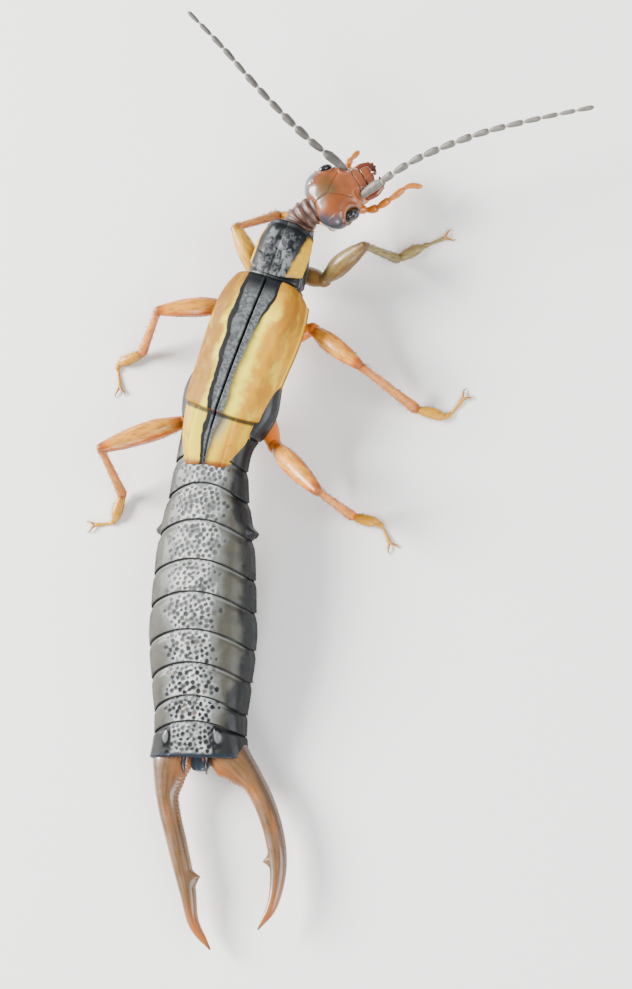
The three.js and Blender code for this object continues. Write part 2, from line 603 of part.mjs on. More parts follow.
// The model's origin is the middle of its footprint, on the floor.
const box = new THREE.Box3().setFromObject(group);
const middle = box.getCenter(vec());
group.position.set(-middle.x, -middle.y, -box.min.z);

export default group;
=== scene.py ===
"""The finished surfaces of a life-size male shore earwig, standing still on its six feet.

Shapes are worked out in millimetres in the animal's own frame: its body runs along Y with the
head end at +Y, Z is up, and headings are turned clockwise from +Y as seen from above.
"""

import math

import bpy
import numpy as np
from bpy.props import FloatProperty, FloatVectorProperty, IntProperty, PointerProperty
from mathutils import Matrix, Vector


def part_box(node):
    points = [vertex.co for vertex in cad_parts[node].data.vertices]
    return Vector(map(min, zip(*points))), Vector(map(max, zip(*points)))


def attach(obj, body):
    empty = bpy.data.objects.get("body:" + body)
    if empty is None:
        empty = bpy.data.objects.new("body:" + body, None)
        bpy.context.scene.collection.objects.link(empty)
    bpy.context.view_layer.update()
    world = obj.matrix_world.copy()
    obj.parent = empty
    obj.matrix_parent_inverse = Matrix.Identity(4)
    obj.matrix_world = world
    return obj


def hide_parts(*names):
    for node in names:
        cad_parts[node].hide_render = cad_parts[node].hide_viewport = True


bl_info = {
    "name": "Shore Earwig",
    "version": (1, 0, 0),
    "blender": (4, 5, 0),
    "location": "View3D > Sidebar > Earwig",
    "description": "Builds the finished surfaces of a life-size male shore earwig",
    "category": "Add Mesh",
}

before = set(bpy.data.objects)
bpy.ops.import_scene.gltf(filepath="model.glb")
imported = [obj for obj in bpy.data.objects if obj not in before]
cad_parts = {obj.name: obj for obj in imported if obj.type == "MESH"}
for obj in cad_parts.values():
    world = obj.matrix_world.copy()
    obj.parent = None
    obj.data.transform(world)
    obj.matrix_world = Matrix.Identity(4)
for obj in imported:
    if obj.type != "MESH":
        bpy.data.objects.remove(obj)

MM = 0.001
RNG = np.random.default_rng(7)
SIDES = {"left": -1, "right": 1}

# The middle line of the trunk. A station is the way back from the front of the shield.
LINE = {"x": -0.47, "y": 10.98, "high": 2.45, "low": 1.05, "sink": (7.5, 24), "step": 0.1, "steps": 320}
HEADINGS = {"thorax": 22, "belly": 5.8, "tail": 3.6, "waist": 8.2, "hip": 11.6, "end": 22}
THORAX_JOINTS = (2.5, 5.5, 8.9)
BELLY_JOINTS = (8.9, 9.9, 11.1, 12.6, 14.2, 15.5, 17.0, 18.3, 19.6, 20.6, 22.05)
WING = {"shoulder": 2.45, "split": 8.3, "end": 10.55, "outer": 8.1}
HEAD = {"at": (0.2, 11.5, 2.4), "heading": 60, "pitch": 8, "length": 2.45}
EYE = {"along": 1.3, "out": 1.18, "up": 0.12, "size": (0.32, 0.2, 0.3)}

LEGS = {
    "front": {"hip": (1.7, 0.6, -1.05), "thick": 0.44,
              "coxa": 0.98, "femur": 2.73, "tibia": 2.5, "tarsus": 2.11},
    "middle": {"hip": (4.4, 0.85, -1.1), "thick": 0.42,
               "coxa": 1.21, "femur": 3.06, "tibia": 3.01, "tarsus": 2.2},
    "hind": {"hip": (7.7, 1.15, -1.1), "thick": 0.46,
             "coxa": 1.34, "femur": 3.85, "tibia": 2.95, "tarsus": 2.04},
}
STANCE = {
    "front_left": {"coxa": -149, "femur": -23.5, "knee": 2.35, "tibia": 48, "foot": (104, 106.5)},
    "front_right": {"coxa": 114, "femur": 68, "knee": 2.75, "tibia": 87, "foot": (66, 73.5)},
    "middle_left": {"coxa": -40, "femur": -93, "knee": 2.48, "tibia": -124, "foot": (-107, 177)},
    "middle_right": {"coxa": 78, "femur": 129, "knee": 2.2, "tibia": 132, "foot": (106, 47)},
    "hind_left": {"coxa": -125, "femur": -109, "knee": 2.85, "tibia": -173, "foot": (-155, -97)},
    "hind_right": {"coxa": 159, "femur": 133, "knee": 3.17, "tibia": 146, "foot": (107.5, 152)},
}
COXA_RISE = 8
FIRST_TARSUS = 0.55

FEELERS = {
    "left": ((0.55, 14.1, 3.2), (-0.5, 15.2, 3.5), (-1.7, 16.6, 3.8), (-3.15, 18.4, 4.0),
             (-4.56, 20.0, 4.2)),
    "right": ((3.9, 12.4, 3.15), (5.3, 12.9, 3.45), (7.9, 13.45, 3.8), (10.3, 13.7, 4.0),
              (12.68, 13.84, 4.2)),
}
SOCKET = {"along": 2.06, "out": 0.66, "up": 0.12, "stalk": 0.62, "bow": 0.05}
BLADES = {
    "left": ((22.2, -1.2, 1.15), (23.6, -1.3, 1.05), (25.6, -0.74, 0.95), (27.3, -0.24, 0.85),
             (28.6, 0.1, 0.8), (29.6, 0.88, 0.85)),
    "right": ((22.2, 1.68, 1.15), (23.2, 2.6, 1.1), (24.8, 3.36, 1.05), (26.4, 3.68, 1.05),
              (27.8, 3.54, 1.1), (28.75, 3.05, 1.2)),
}
PALPS = {
    "left": ((1.45, 13.6, 1.55), (1.8, 14.1, 1.35)),
    "right": ((3.42, 11.93, 1.65), (4.05, 12.36, 1.5), (4.5, 12.35, 1.3)),
}


# Sizes and colours that a user would change

def tint(name, description, red, green, blue):
    """A colour setting, from the 0 to 255 values of a colour picker."""
    values = [v / 255 for v in (red, green, blue)]
    linear = [v / 12.92 if v <= 0.04045 else ((v + 0.055) / 1.055) ** 2.4 for v in values]
    return FloatVectorProperty(name=name, description=description, default=linear, subtype="COLOR",
                               min=0, max=1, size=3)


def size(name, description, millimetres):
    """A length setting, in millimetres here and in metres in the panel."""
    return FloatProperty(name=name, description=description, default=millimetres * MM, unit="LENGTH",
                         min=0, precision=6)


class EarwigSizes(bpy.types.PropertyGroup):
    case_thickness: size("Wing case", "Thickness of the wing cases and wing tips", 0.16)
    shield_thickness: size("Shield", "Thickness of the shield over the first thorax ring", 0.2)
    ring_lap: size("Ring lap", "How far each belly ring reaches over the next", 0.07)
    ring_step: size("Ring step", "How deep the front of a belly ring tucks in", 0.085)
    ring_bow: size("Ring bow", "How far a belly ring's edge is swept back at its sides", 0.6)
    pit_size: size("Pit size", "Radius of the round pits on the belly", 0.118)
    pit_spacing: size("Pit spacing", "Least distance between two pits", 0.2)
    pit_depth: size("Pit depth", "Depth of the pits", 0.02)
    bead_thickness: size("Bead thickness", "Half thickness of the first feeler bead", 0.185)
    bead_tip: size("Bead tip", "Half thickness of the last feeler bead", 0.095)
    bristle_length: size("Bristle length", "Length of the bristles on the legs", 0.16)
    bristle_thickness: size("Bristle thickness", "Half thickness of a bristle at its root", 0.006)
    left_beads: IntProperty(name="Left beads", description="Beads of the left feeler", default=11, min=3)
    right_beads: IntProperty(name="Right beads", description="Beads of the right feeler", default=13, min=3)
    eye_detail: IntProperty(name="Eye detail", description="Subdivisions of the eye's facets", default=5,
                            min=2, max=6)


class EarwigColours(bpy.types.PropertyGroup):
    crown: tint("Crown", "Orange-brown top of the head", 130, 66, 24)
    crown_shade: tint("Crown shade", "Olive patch on the crown", 80, 64, 28)
    cheek: tint("Cheek", "Grey-blue rear cheek", 58, 60, 68)
    face: tint("Face", "Pinkish front of the head", 152, 84, 46)
    eye: tint("Eye", "Near-black facets", 22, 24, 30)
    jaw: tint("Jaw", "Brown of jaws and lips", 116, 52, 24)
    jaw_tip: tint("Jaw tip", "Dark teeth of the jaws", 44, 32, 28)
    palp: tint("Palp", "Orange-yellow of the palps", 190, 106, 10)
    bead: tint("Bead", "Grey of the feelers", 98, 94, 88)
    bead_joint: tint("Bead joint", "Pale joints between the beads", 188, 180, 166)
    neck: tint("Neck", "Pinkish brown skin of the neck", 104, 72, 56)
    neck_fold: tint("Neck fold", "Dark brown in the neck's folds", 52, 34, 28)
    black: tint("Black", "Blue-black bands", 13, 16, 19)
    # Also the dark flanks of the belly, which are partly painted shade.
    slate: tint("Slate", "Dark flanks", 22, 26, 30)
    mottle: tint("Mottle", "Grey patches inside the dark bands", 116, 120, 120)
    margin: tint("Margin", "Yellow margins of the shield", 208, 160, 14)
    ochre: tint("Ochre", "Main colour of the wing cases", 196, 140, 34)
    stripe: tint("Stripe", "Pale yellow stripe beside the dark band", 240, 222, 66)
    case_brown: tint("Case brown", "Brown shade and outer margin of the wing cases", 126, 74, 20)
    wing_yellow: tint("Wing yellow", "Bright yellow of the folded wing tips", 220, 196, 18)
    wing_rust: tint("Wing rust", "Red-brown rear edge of the wing tips", 112, 52, 22)
    belly: tint("Belly", "Grey middle of the belly", 118, 122, 120)
    belly_side: tint("Belly side", "Brownish grey beside the middle", 72, 70, 60)
    # Whitish network between the pits, and also the painted highlight on the two swellings at the end of
    # the belly.
    belly_pale: tint("Belly pale", "Whitish network between the pits", 206, 208, 204)
    belly_plate: tint("Belly plate", "Brown plates of the underside", 104, 76, 44)
    pit: tint("Pit", "Dark grey in the pits", 26, 30, 32)
    tail_plate: tint("Tail plate", "Blue-grey plate between the forceps", 44, 60, 76)
    blade: tint("Blade", "Umber brown of the forceps", 108, 78, 46)
    blade_glow: tint("Blade glow", "Orange parts of the forceps", 186, 98, 26)
    blade_edge: tint("Blade edge", "Grey-brown outer edge of the forceps", 84, 64, 50)
    leg: tint("Leg", "Orange of the legs", 206, 106, 22)
    # The pale of the front left feet, and the painted highlight along the tops of the thighs.
    leg_pale: tint("Leg pale", "Yellow streaks on the thighs", 234, 176, 62)
    # Brown joints, and the painted shade along the undersides of the legs.
    leg_brown: tint("Leg brown", "Brown edges and joints of the legs", 118, 64, 20)
    leg_ochre: tint("Leg ochre", "Yellow-ochre front left thigh", 200, 148, 28)
    leg_olive: tint("Leg olive", "Olive-grey front right shank and foot", 124, 108, 62)
    leg_umber: tint("Leg umber", "Olive-brown front right thigh", 112, 82, 38)
    claw: tint("Claw", "Brown claws", 168, 112, 28)
    bristle: tint("Bristle", "Golden-brown bristles", 84, 56, 30)
    floor: tint("Floor", "Pale floor", 248, 247, 244)


def colour_of(colour):
    """The colour setting of a name, or of a pair of a name and how much darker or lighter it is."""
    name, shade = colour if isinstance(colour, tuple) else (colour, 1)
    value = getattr(bpy.context.scene.earwig_colours, name)
    return (*(min(1.0, v * shade) for v in value), 1)


# Curves and places

def lerp(a, b, t):
    return a + (b - a) * t


def smooth(value, low, high):
    """0 below low, 1 above high and a soft step between them."""
    t = np.clip((value - low) / (high - low), 0, 1)
    return t * t * (3 - 2 * t)


def bump(value, middle, width):
    """A soft bump of height 1 round a value."""
    return np.exp(-((value - middle) / width) ** 2)


def through(*pairs):
    """A smooth curve through a few pairs of place and value."""
    place, value = np.array(pairs, float).T
    slope = np.gradient(value)
    slope[1:-1] = (value[2:] - value[:-2]) / (place[2:] - place[:-2])
    slope[0] = (value[1] - value[0]) / (place[1] - place[0])
    slope[-1] = (value[-1] - value[-2]) / (place[-1] - place[-2])

    def at(s):
        s = np.clip(s, place[0], place[-1])
        i = np.clip(np.searchsorted(place, s, side="right") - 1, 0, len(place) - 2)
        run = place[i + 1] - place[i]
        t = (s - place[i]) / run
        lead = t * (1 - t) ** 2 * slope[i] * run
        trail = t * t * (t - 1) * slope[i + 1] * run
        return lerp(value[i], value[i + 1], t * t * (3 - 2 * t)) + lead + trail

    return at


def ahead(heading):
    turn = math.radians(heading)
    return np.array([math.sin(turn), math.cos(turn), 0.0])


def heading_at(s):
    waist = lerp(HEADINGS["thorax"], HEADINGS["belly"], smooth(s, HEADINGS["waist"], HEADINGS["hip"]))
    return waist + (HEADINGS["tail"] - HEADINGS["belly"]) * smooth(s, HEADINGS["hip"], HEADINGS["end"])


def walk_back():
    """Points of the trunk's middle line, one for each step back from the shield."""
    stations = np.arange(LINE["steps"] + 1) * LINE["step"]
    turn = np.radians(heading_at(stations[:-1] + LINE["step"] / 2))
    moves = -LINE["step"] * np.stack([np.sin(turn), np.cos(turn)], -1)
    flat = np.vstack([np.zeros(2), np.cumsum(moves, 0)]) + (LINE["x"], LINE["y"])
    return np.column_stack([flat, lerp(LINE["high"], LINE["low"], smooth(stations, *LINE["sink"]))])


WALK = walk_back()


def together(*values):
    """One array with several numbers for each point."""
    return np.stack(np.broadcast_arrays(*values), -1)


def spot(s, right, up):
    """The point at a station, so far to the animal's right and so far up."""
    s, right, up = (np.array(v, float) for v in np.broadcast_arrays(s, right, up))
    i = np.clip(np.floor(s / LINE["step"]).astype(int), 0, LINE["steps"] - 1)
    part = (s / LINE["step"] - i)[..., None]
    turn = np.radians(heading_at(s) + 90)
    aside = together(np.sin(turn) * right, np.cos(turn) * right, up)
    return WALK[i] * (1 - part) + WALK[i + 1] * part + aside


FACE_AHEAD = ahead(HEAD["heading"]) * math.cos(math.radians(HEAD["pitch"]))
FACE_AHEAD[2] = -math.sin(math.radians(HEAD["pitch"]))
FACE_RIGHT = ahead(HEAD["heading"] + 90)
FACE_UP = np.cross(FACE_RIGHT, FACE_AHEAD)


def face(forward, right, up):
    """The point of the head so far forward from its back, to its right and up."""
    forward, right, up = (np.array(v, float)[..., None] for v in np.broadcast_arrays(forward, right, up))
    return np.array(HEAD["at"]) + forward * FACE_AHEAD + right * FACE_RIGHT + up * FACE_UP


def face_line(side, *places):
    """Points of the head from a few places: how far forward, how far out to a side, and how high."""
    return [face(forward, side * out, up) for forward, out, up in places]


def box_middle(node):
    low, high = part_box(node)
    return np.array((low + high) / 2) / MM


# The animal's own frame is placed by its eyes, whose middle is known in both frames.
SHIFT = (box_middle("eye_left") + box_middle("eye_right")) / 2 - face(EYE["along"], 0, EYE["up"])


def oval(turn, wide, top, bottom, power):
    """A squared oval: how far out across and up it is at a turn."""
    c, q = np.cos(turn), np.sin(turn)
    across = wide * np.sign(c) * np.abs(c) ** power
    return across, np.where(q > 0, top, bottom) * np.sign(q) * np.abs(q) ** power


def full_turn(sides):
    return np.linspace(0, 2 * np.pi, sides, endpoint=False)


def line_through(points, count):
    """Evenly spaced points on a smooth line through a few points."""
    p = np.array(points, float)
    p = np.vstack([2 * p[0] - p[1], p, 2 * p[-1] - p[-2]])
    fine = []
    for a, b, c, d in zip(p, p[1:], p[2:], p[3:]):
        before, between, after = (np.linalg.norm(v) ** 0.5 for v in (b - a, c - b, d - c))
        leave = ((b - a) / before - (c - a) / (before + between) + (c - b) / between) * between
        arrive = ((c - b) / between - (d - b) / (between + after) + (d - c) / after) * between
        t = np.linspace(0, 1, 60)[:, None]
        pull = (t ** 3 - 2 * t ** 2 + t) * leave + (t ** 3 - t ** 2) * arrive
        fine.append(lerp(b, c, t * t * (3 - 2 * t)) + pull)
    fine = np.vstack(fine)
    way = np.concatenate([[0], np.cumsum(np.linalg.norm(np.diff(fine, axis=0), axis=1))])
    even = np.linspace(0, way[-1], count)
    return np.column_stack([np.interp(even, way, fine[:, k]) for k in range(3)])


def unit(v):
    return v / np.maximum(np.linalg.norm(v, axis=-1, keepdims=True), 1e-9)


# Shells: points, faces and marks of one closed surface

def outward(grid, wrap):
    """The outward direction at each point of a grid of rows of points."""
    along = np.gradient(grid, axis=0)
    across = (np.roll(grid, -1, 1) - np.roll(grid, 1, 1)) if wrap else np.gradient(grid, axis=1)
    normal = unit(np.cross(along, across))
    middle = grid.mean(1, keepdims=True) if wrap else grid.mean((0, 1), keepdims=True) - (0, 0, 9)
    return normal if (normal * (grid - middle)).sum() > 0 else -normal


def shell(points, quads, tris, marks, flatten):
    """A closed surface with its faces turned outwards. A mark is one number or three for every point."""
    tris = np.array(tris, int).reshape(-1, 3)
    halves = np.vstack([quads[:, [0, 1, 2]], quads[:, [0, 2, 3]], tris])
    a, b, c = (points[halves[:, k]] - points.mean(0) for k in range(3))
    if (a * np.cross(b, c)).sum() < 0:
        quads, tris = quads[:, ::-1], tris[:, ::-1]
    marks = {name: flatten(np.asarray(value, float)) for name, value in marks.items()}
    return {"points": points, "quads": quads, "tris": tris, "marks": marks}


def skin(grid, **marks):
    """A closed shell through rings of points, with a middle point at each end."""
    rows, sides = grid.shape[:2]
    index = np.arange(rows * sides).reshape(rows, sides)
    beside = np.roll(index, -1, 1)
    quads = np.stack([index[:-1], beside[:-1], beside[1:], index[1:]], -1).reshape(-1, 4)
    first, last = rows * sides, rows * sides + 1
    tris = [(beside[0, k], index[0, k], first) for k in range(sides)]
    tris += [(index[-1, k], beside[-1, k], last) for k in range(sides)]
    points = np.vstack([grid.reshape(-1, 3), grid[0].mean(0), grid[-1].mean(0)])
    marks["root"] = together(np.linspace(0, 1, rows)[:, None], np.linspace(0, 1, sides, endpoint=False), 0)
    marks["lay"] = unit(np.gradient(grid, axis=0))

    def flatten(value):
        value = np.broadcast_to(value, (rows, sides) + value.shape[2:]).reshape(rows, sides, -1)
        return np.vstack([value.reshape(rows * sides, -1), value[0].mean(0), value[-1].mean(0)])

    return shell(points, quads, tris, marks, flatten)


def edged(count, length, radius):
    """Places from 0 to 1 across a plate, closer together over its rounded rims."""
    rim = radius / length * (1 - np.cos(np.linspace(0, np.pi / 2, 5)))
    return np.concatenate([rim, np.linspace(rim[-1], 1 - rim[-1], count)[1:-1], 1 - rim[::-1]])


def roundness(places, length, radius):
    """How full a plate's rim is at each place: 0 at the edge and 1 inside the rounding."""
    depth = np.minimum(places, 1 - places) * length / radius
    return np.sqrt(np.clip(1 - (1 - np.minimum(depth, 1)) ** 2, 0, 1))


def plate_grid(columns, width, rows, length, radius):
    """Places across and along a plate with rounded rims, and how full its rims are there."""
    across, along = edged(columns, width, radius), edged(rows, length, radius)
    fullness = np.minimum.outer(roundness(along, length, radius), roundness(across, width, radius))
    return across[None, :], along[:, None], fullness


def plate(outer, thickness, fullness, **marks):
    """A closed shell of a curved plate with rounded rims, under its outer surface."""
    rows, columns = outer.shape[:2]
    down = -outward(outer, False)
    full = fullness[..., None]
    top = outer + down * thickness / 2 * (1 - full)
    under = outer + down * thickness / 2 * (1 + full)
    count = rows * columns
    index = np.arange(count).reshape(rows, columns)
    below = index + count
    for edge in (np.s_[0, :], np.s_[-1, :], np.s_[:, 0], np.s_[:, -1]):
        below[edge] = index[edge]

    def faces(ids):
        return np.stack([ids[:-1, :-1], ids[:-1, 1:], ids[1:, 1:], ids[1:, :-1]], -1).reshape(-1, 4)

    quads = np.vstack([faces(index), faces(below)[:, ::-1]])
    used, quads = np.unique(quads, return_inverse=True)
    points = np.vstack([top.reshape(-1, 3), under.reshape(-1, 3)])[used]
    return shell(points, quads.reshape(-1, 4), [], marks,
                 lambda value: np.vstack([value.reshape(count, -1)] * 2)[used])


def tube(line, wide, high, sides=24, rows=40, cap=0.8, power=1.0, swell=None):
    """Rings round a line with rounded ends, with how far along and which way round each point is."""
    step = np.radians(np.linspace(6, 90, 6))[:-1]
    share = np.concatenate([np.zeros(5), np.linspace(0, 1, rows), np.ones(5)])
    shrink = np.concatenate([np.sin(step), np.ones(rows), np.sin(step)[::-1]])
    reach = [cap * min(wide(t), high(t)) for t in (0.0, 1.0)]
    over = np.concatenate([-reach[0] * np.cos(step), np.zeros(rows), reach[1] * np.cos(step)[::-1]])
    place = share * (len(line) - 1)
    way = unit(np.gradient(line, axis=0))
    at, way = (np.column_stack([np.interp(place, np.arange(len(line)), v[:, k]) for k in range(3)])
               for v in (line, way))
    way = unit(way)
    side = unit(np.cross(way, (0, 0, 1)))
    up = np.cross(side, way)
    turn = full_turn(sides)
    across, rise = oval(turn, 1, 1, 1, power)
    t = share[:, None]
    grow = np.zeros((len(share), sides)) if swell is None else swell(t, turn)
    out = across * (wide(t) * shrink[:, None] + grow)
    lift = rise * high(t) * shrink[:, None]
    middle = (at + way * over[:, None])[:, None]
    grid = middle + side[:, None] * out[..., None] + up[:, None] * lift[..., None]
    return grid, together(t, np.cos(turn), np.sin(turn))


def tube_skin(line, wide, high, mark=0.0, **settings):
    """A closed tube. Its lie is the way along it from 0 to 1, and the turn round it."""
    grid, lie = tube(line, wide, high, **settings)
    return skin(grid, lie=lie, mark=mark)


def write_mark(mesh, name, values):
    """Writes a mark of one number or three for each point of a mesh."""
    vector = values.shape[1] == 3
    attribute = mesh.attributes.new(name, "FLOAT_VECTOR" if vector else "FLOAT", "POINT")
    attribute.data.foreach_set("vector" if vector else "value", values.astype(np.float32).ravel())


def mesh_of(name, shells):
    """One mesh of several shells, in metres in the model's frame, with their marks."""
    starts = np.cumsum([0] + [len(one["points"]) for one in shells])
    quads, tris = (np.vstack([one[kind] + start for one, start in zip(shells, starts)]).tolist()
                   for kind in ("quads", "tris"))
    points = (np.vstack([one["points"] for one in shells]) + SHIFT) * MM
    points[:, 2] = np.maximum(points[:, 2], 0)
    mesh = bpy.data.meshes.new(name)
    mesh.from_pydata(points.tolist(), [], quads + tris)
    for mark in shells[0]["marks"]:
        write_mark(mesh, mark, np.vstack([one["marks"][mark] for one in shells]))
    return mesh


def add_object(name, data):
    item = bpy.data.objects.new(name, data)
    bpy.context.scene.collection.objects.link(item)
    return item


def finish_piece(name, mesh, material, nodes=()):
    """An object of a finished mesh, on the body and in place of its solids."""
    mesh.materials.clear()
    mesh.materials.append(material)
    mesh.shade_smooth()
    for mark in ("root", "lay"):
        if mark in mesh.attributes:
            mesh.attributes.remove(mesh.attributes[mark])
    piece = add_object(name, mesh)
    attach(piece, "root")
    if nodes:
        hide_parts(*nodes)
    return piece


def piece_of(name, shells, material, nodes=()):
    return finish_piece(name, mesh_of(name, shells), material, nodes)


# Node trees

class Nodes:
    """A node tree with short ways to add to it."""

    def __init__(self, tree):
        self.tree = tree

    def put(self, kind, inputs=None, **settings):
        """Adds a node, sets it up, and links or fills its inputs."""
        node = self.tree.nodes.new(kind)
        for name, value in settings.items():
            setattr(node, name, value)
        for name, value in (inputs or {}).items():
            if isinstance(value, bpy.types.NodeSocket):
                self.tree.links.new(value, node.inputs[name])
            else:
                node.inputs[name].default_value = value
        return node

    def take(self, inputs):
        """Gives the tree named inputs, each with its default or the kind of its socket."""
        for label, default in inputs.items():
            kind = {int: "Int", float: "Float"}.get(type(default), default)
            socket = self.add_socket(label, "INPUT", kind)
            if kind != default:
                socket.default_value = default
        return self.put("NodeGroupInput").outputs

    def add_socket(self, label, way, kind):
        return self.tree.interface.new_socket(label, in_out=way, socket_type="NodeSocket" + kind)

    def give(self, outputs, kind="Float"):
        """Ends the tree in its named outputs."""
        for label in outputs:
            self.add_socket(label, "OUTPUT", kind)
        self.put("NodeGroupOutput", outputs)
        return self.tree

    def maths(self, operation, *values):
        return self.put("ShaderNodeMath", dict(enumerate(values)), operation=operation).outputs[0]

    def vectors(self, operation, *values):
        return self.put("ShaderNodeVectorMath", dict(enumerate(values)), operation=operation).outputs[0]

    def scaled(self, vector, factor):
        return self.put("ShaderNodeVectorMath", {0: vector, "Scale": factor}, operation="SCALE").outputs[0]

    def joined(self, x, y, z):
        return self.put("ShaderNodeCombineXYZ", {0: x, 1: y, 2: z}).outputs[0]

    def parted(self, vector):
        return self.put("ShaderNodeSeparateXYZ", {0: vector}).outputs[:3]

    def times(self, *values):
        result = values[0]
        for value in values[1:]:
            result = self.maths("MULTIPLY", result, value)
        return result

    def fade(self, value, low, high, start, end):
        """A soft step from start, below low, to end, above high."""
        inputs = {"Value": value, "From Min": low, "From Max": high, "To Min": start, "To Max": end}
        return self.put("ShaderNodeMapRange", inputs, interpolation_type="SMOOTHSTEP").outputs[0]

    def above(self, value, low, high):
        return self.fade(value, low, high, 0, 1)

    def under(self, value, low, high):
        return self.fade(value, low, high, 1, 0)


def built_once(build):
    """A shared shader node group, built the first time that it is asked for."""
    def group():
        name = build.__name__.replace("_", " ").capitalize()
        if name not in bpy.data.node_groups:
            build(Nodes(bpy.data.node_groups.new(name, "ShaderNodeTree")))
        return bpy.data.node_groups[name]

    return group


@built_once
def soft_stripe(nodes):
    """A soft stripe of a value, from one edge to another."""
    given = nodes.take({"Value": 0.0, "From": 0.0, "To": 0.0, "Blur": 0.05})
    edges = {edge: [nodes.maths(way, given[edge], given["Blur"]) for way in ("SUBTRACT", "ADD")]
             for edge in ("From", "To")}
    entered = nodes.above(given["Value"], *edges["From"])
    nodes.give({"Mask": nodes.times(entered, nodes.under(given["Value"], *edges["To"]))})


@built_once
def cuticle(nodes):
    """Fine leathery grain and slow unevenness of horny skin."""
    given = nodes.take({"Place": "Vector", "Grain": 14.0})
    fine = {"Vector": given["Place"], "Scale": given["Grain"]}
    cells = nodes.put("ShaderNodeTexVoronoi", fine, feature="SMOOTH_F1")
    grit = nodes.put("ShaderNodeTexNoise", {**fine, "Detail": 3.0})
    slow = nodes.put("ShaderNodeTexNoise", {"Vector": given["Place"], "Scale": 1.6, "Detail": 4.0})
    height = nodes.maths("MULTIPLY_ADD", cells.outputs["Distance"], -0.6, grit.outputs[0])
    height = nodes.maths("MULTIPLY_ADD", slow.outputs[0], 0.6, height)
    nodes.give({"Height": height, "Patches": nodes.above(slow.outputs[0], 0.35, 0.65)})


@built_once
def mottle(nodes):
    """Blotches with ragged edges."""
    given = nodes.take({"Place": "Vector", "Scale": 3.0, "Cover": 0.5})
    wide = nodes.put("ShaderNodeTexNoise", {"Vector": given["Place"], "Scale": given["Scale"],
                                            "Detail": 5.0, "Roughness": 0.65, "Distortion": 0.6})
    low = nodes.maths("SUBTRACT", 1.0, given["Cover"])
    nodes.give({"Mask": nodes.above(wide.outputs[0], low, nodes.maths("ADD", low, 0.12))})


class Finish(Nodes):
    """A material under construction: its colour is laid on in coats, one mask at a time."""
    COAT_ROUGHNESS = 0.08
    RELIEF_DISTANCE = 0.02 * MM
    ROUGHNESS_SPREAD = (-0.05, 0.08)

    def __init__(self, name, base, roughness=0.35, coat=0.0, grain=14.0, relief=0.1, specular=0.5):
        self.material = bpy.data.materials.new(name)
        self.material.use_nodes = True
        super().__init__(self.material.node_tree)
        self.tree.nodes.clear()
        self.shader = self.put("ShaderNodeBsdfPrincipled", {
            "Coat Weight": coat, "Coat Roughness": self.COAT_ROUGHNESS, "Specular IOR Level": specular})
        self.put("ShaderNodeOutputMaterial", {0: self.shader.outputs[0]})
        place = self.put("ShaderNodeTexCoord").outputs["Object"]
        self.place = self.vectors("MULTIPLY", place, (1 / MM,) * 3)
        self.colour = self.put("ShaderNodeRGB").outputs[0]
        self.colour.default_value = colour_of(base)
        horn = self.put("ShaderNodeGroup", {"Place": self.place, "Grain": grain}, node_tree=cuticle())
        self.patches, self.height = horn.outputs["Patches"], horn.outputs["Height"]
        self.relief = relief
        low, high = (roughness + spread for spread in self.ROUGHNESS_SPREAD)
        self.roughness = self.fade(self.patches, 0, 1, low, high)

    def mark(self, name, output="Fac"):
        """A mark of the mesh, as one number or as a vector."""
        return self.put("ShaderNodeAttribute", attribute_name=name).outputs[output]

    def lie(self):
        """The three numbers that say where a point lies on its piece."""
        return self.parted(self.mark("lie", "Vector"))

    def stretched(self, x, y, z, place=None):
        """The place on the piece, scaled differently each way, for streaks."""
        return self.vectors("MULTIPLY", place or self.place, (x, y, z))

    def noise(self, scale, low=0.4, high=0.6, place=None, detail=3.0):
        inputs = {"Vector": place or self.place, "Scale": scale, "Detail": detail}
        return self.above(self.put("ShaderNodeTexNoise", inputs).outputs[0], low, high)

    def wavy(self, value, amount, scale, low=0.3, high=0.7, detail=3.0):
        """A value with slow waves added, for ragged edges."""
        return self.maths("MULTIPLY_ADD", self.noise(scale, low, high, detail=detail), amount, value)

    def streaks(self, lie, scale, low=0.42, high=0.6):
        """Streaks along a piece that has a lie."""
        along, across, up = lie
        return self.noise(scale, low, high, self.joined(self.times(along, 1.6), across, up))

    def stripe(self, value, start, end, blur=0.05):
        inputs = {"Value": value, "From": start, "To": end, "Blur": blur}
        return self.put("ShaderNodeGroup", inputs, node_tree=soft_stripe()).outputs["Mask"]

    def mottle(self, scale, cover, place):
        inputs = {"Place": place, "Scale": scale, "Cover": cover}
        return self.put("ShaderNodeGroup", inputs, node_tree=mottle()).outputs["Mask"]

    def away(self, mask):
        return self.maths("SUBTRACT", 1.0, mask)

    def coat(self, colour, strength, *masks):
        """Lays a colour over what is there, where all the masks say."""
        mask = self.times(*masks) if strength == 1 else self.times(*masks, strength)
        inputs = {0: mask, 6: self.colour, 7: colour_of(colour)}
        self.colour = self.put("ShaderNodeMix", inputs, data_type="RGBA").outputs[2]

    def carve(self, mask, depth):
        """Lowers the relief where the mask says."""
        self.height = self.maths("MULTIPLY_ADD", mask, -depth, self.height)

    def polish(self, mask, amount):
        """Makes the surface smoother where the mask says."""
        self.roughness = self.maths("SUBTRACT", self.roughness, self.times(mask, amount))

    def done(self):
        relief = self.put("ShaderNodeBump", {
            "Height": self.height, "Strength": self.relief, "Distance": self.RELIEF_DISTANCE})
        finished = {"Base Color": self.colour, "Roughness": self.roughness, "Normal": relief.outputs[0]}
        for label, value in finished.items():
            self.tree.links.new(value, self.shader.inputs[label])
        return self.material


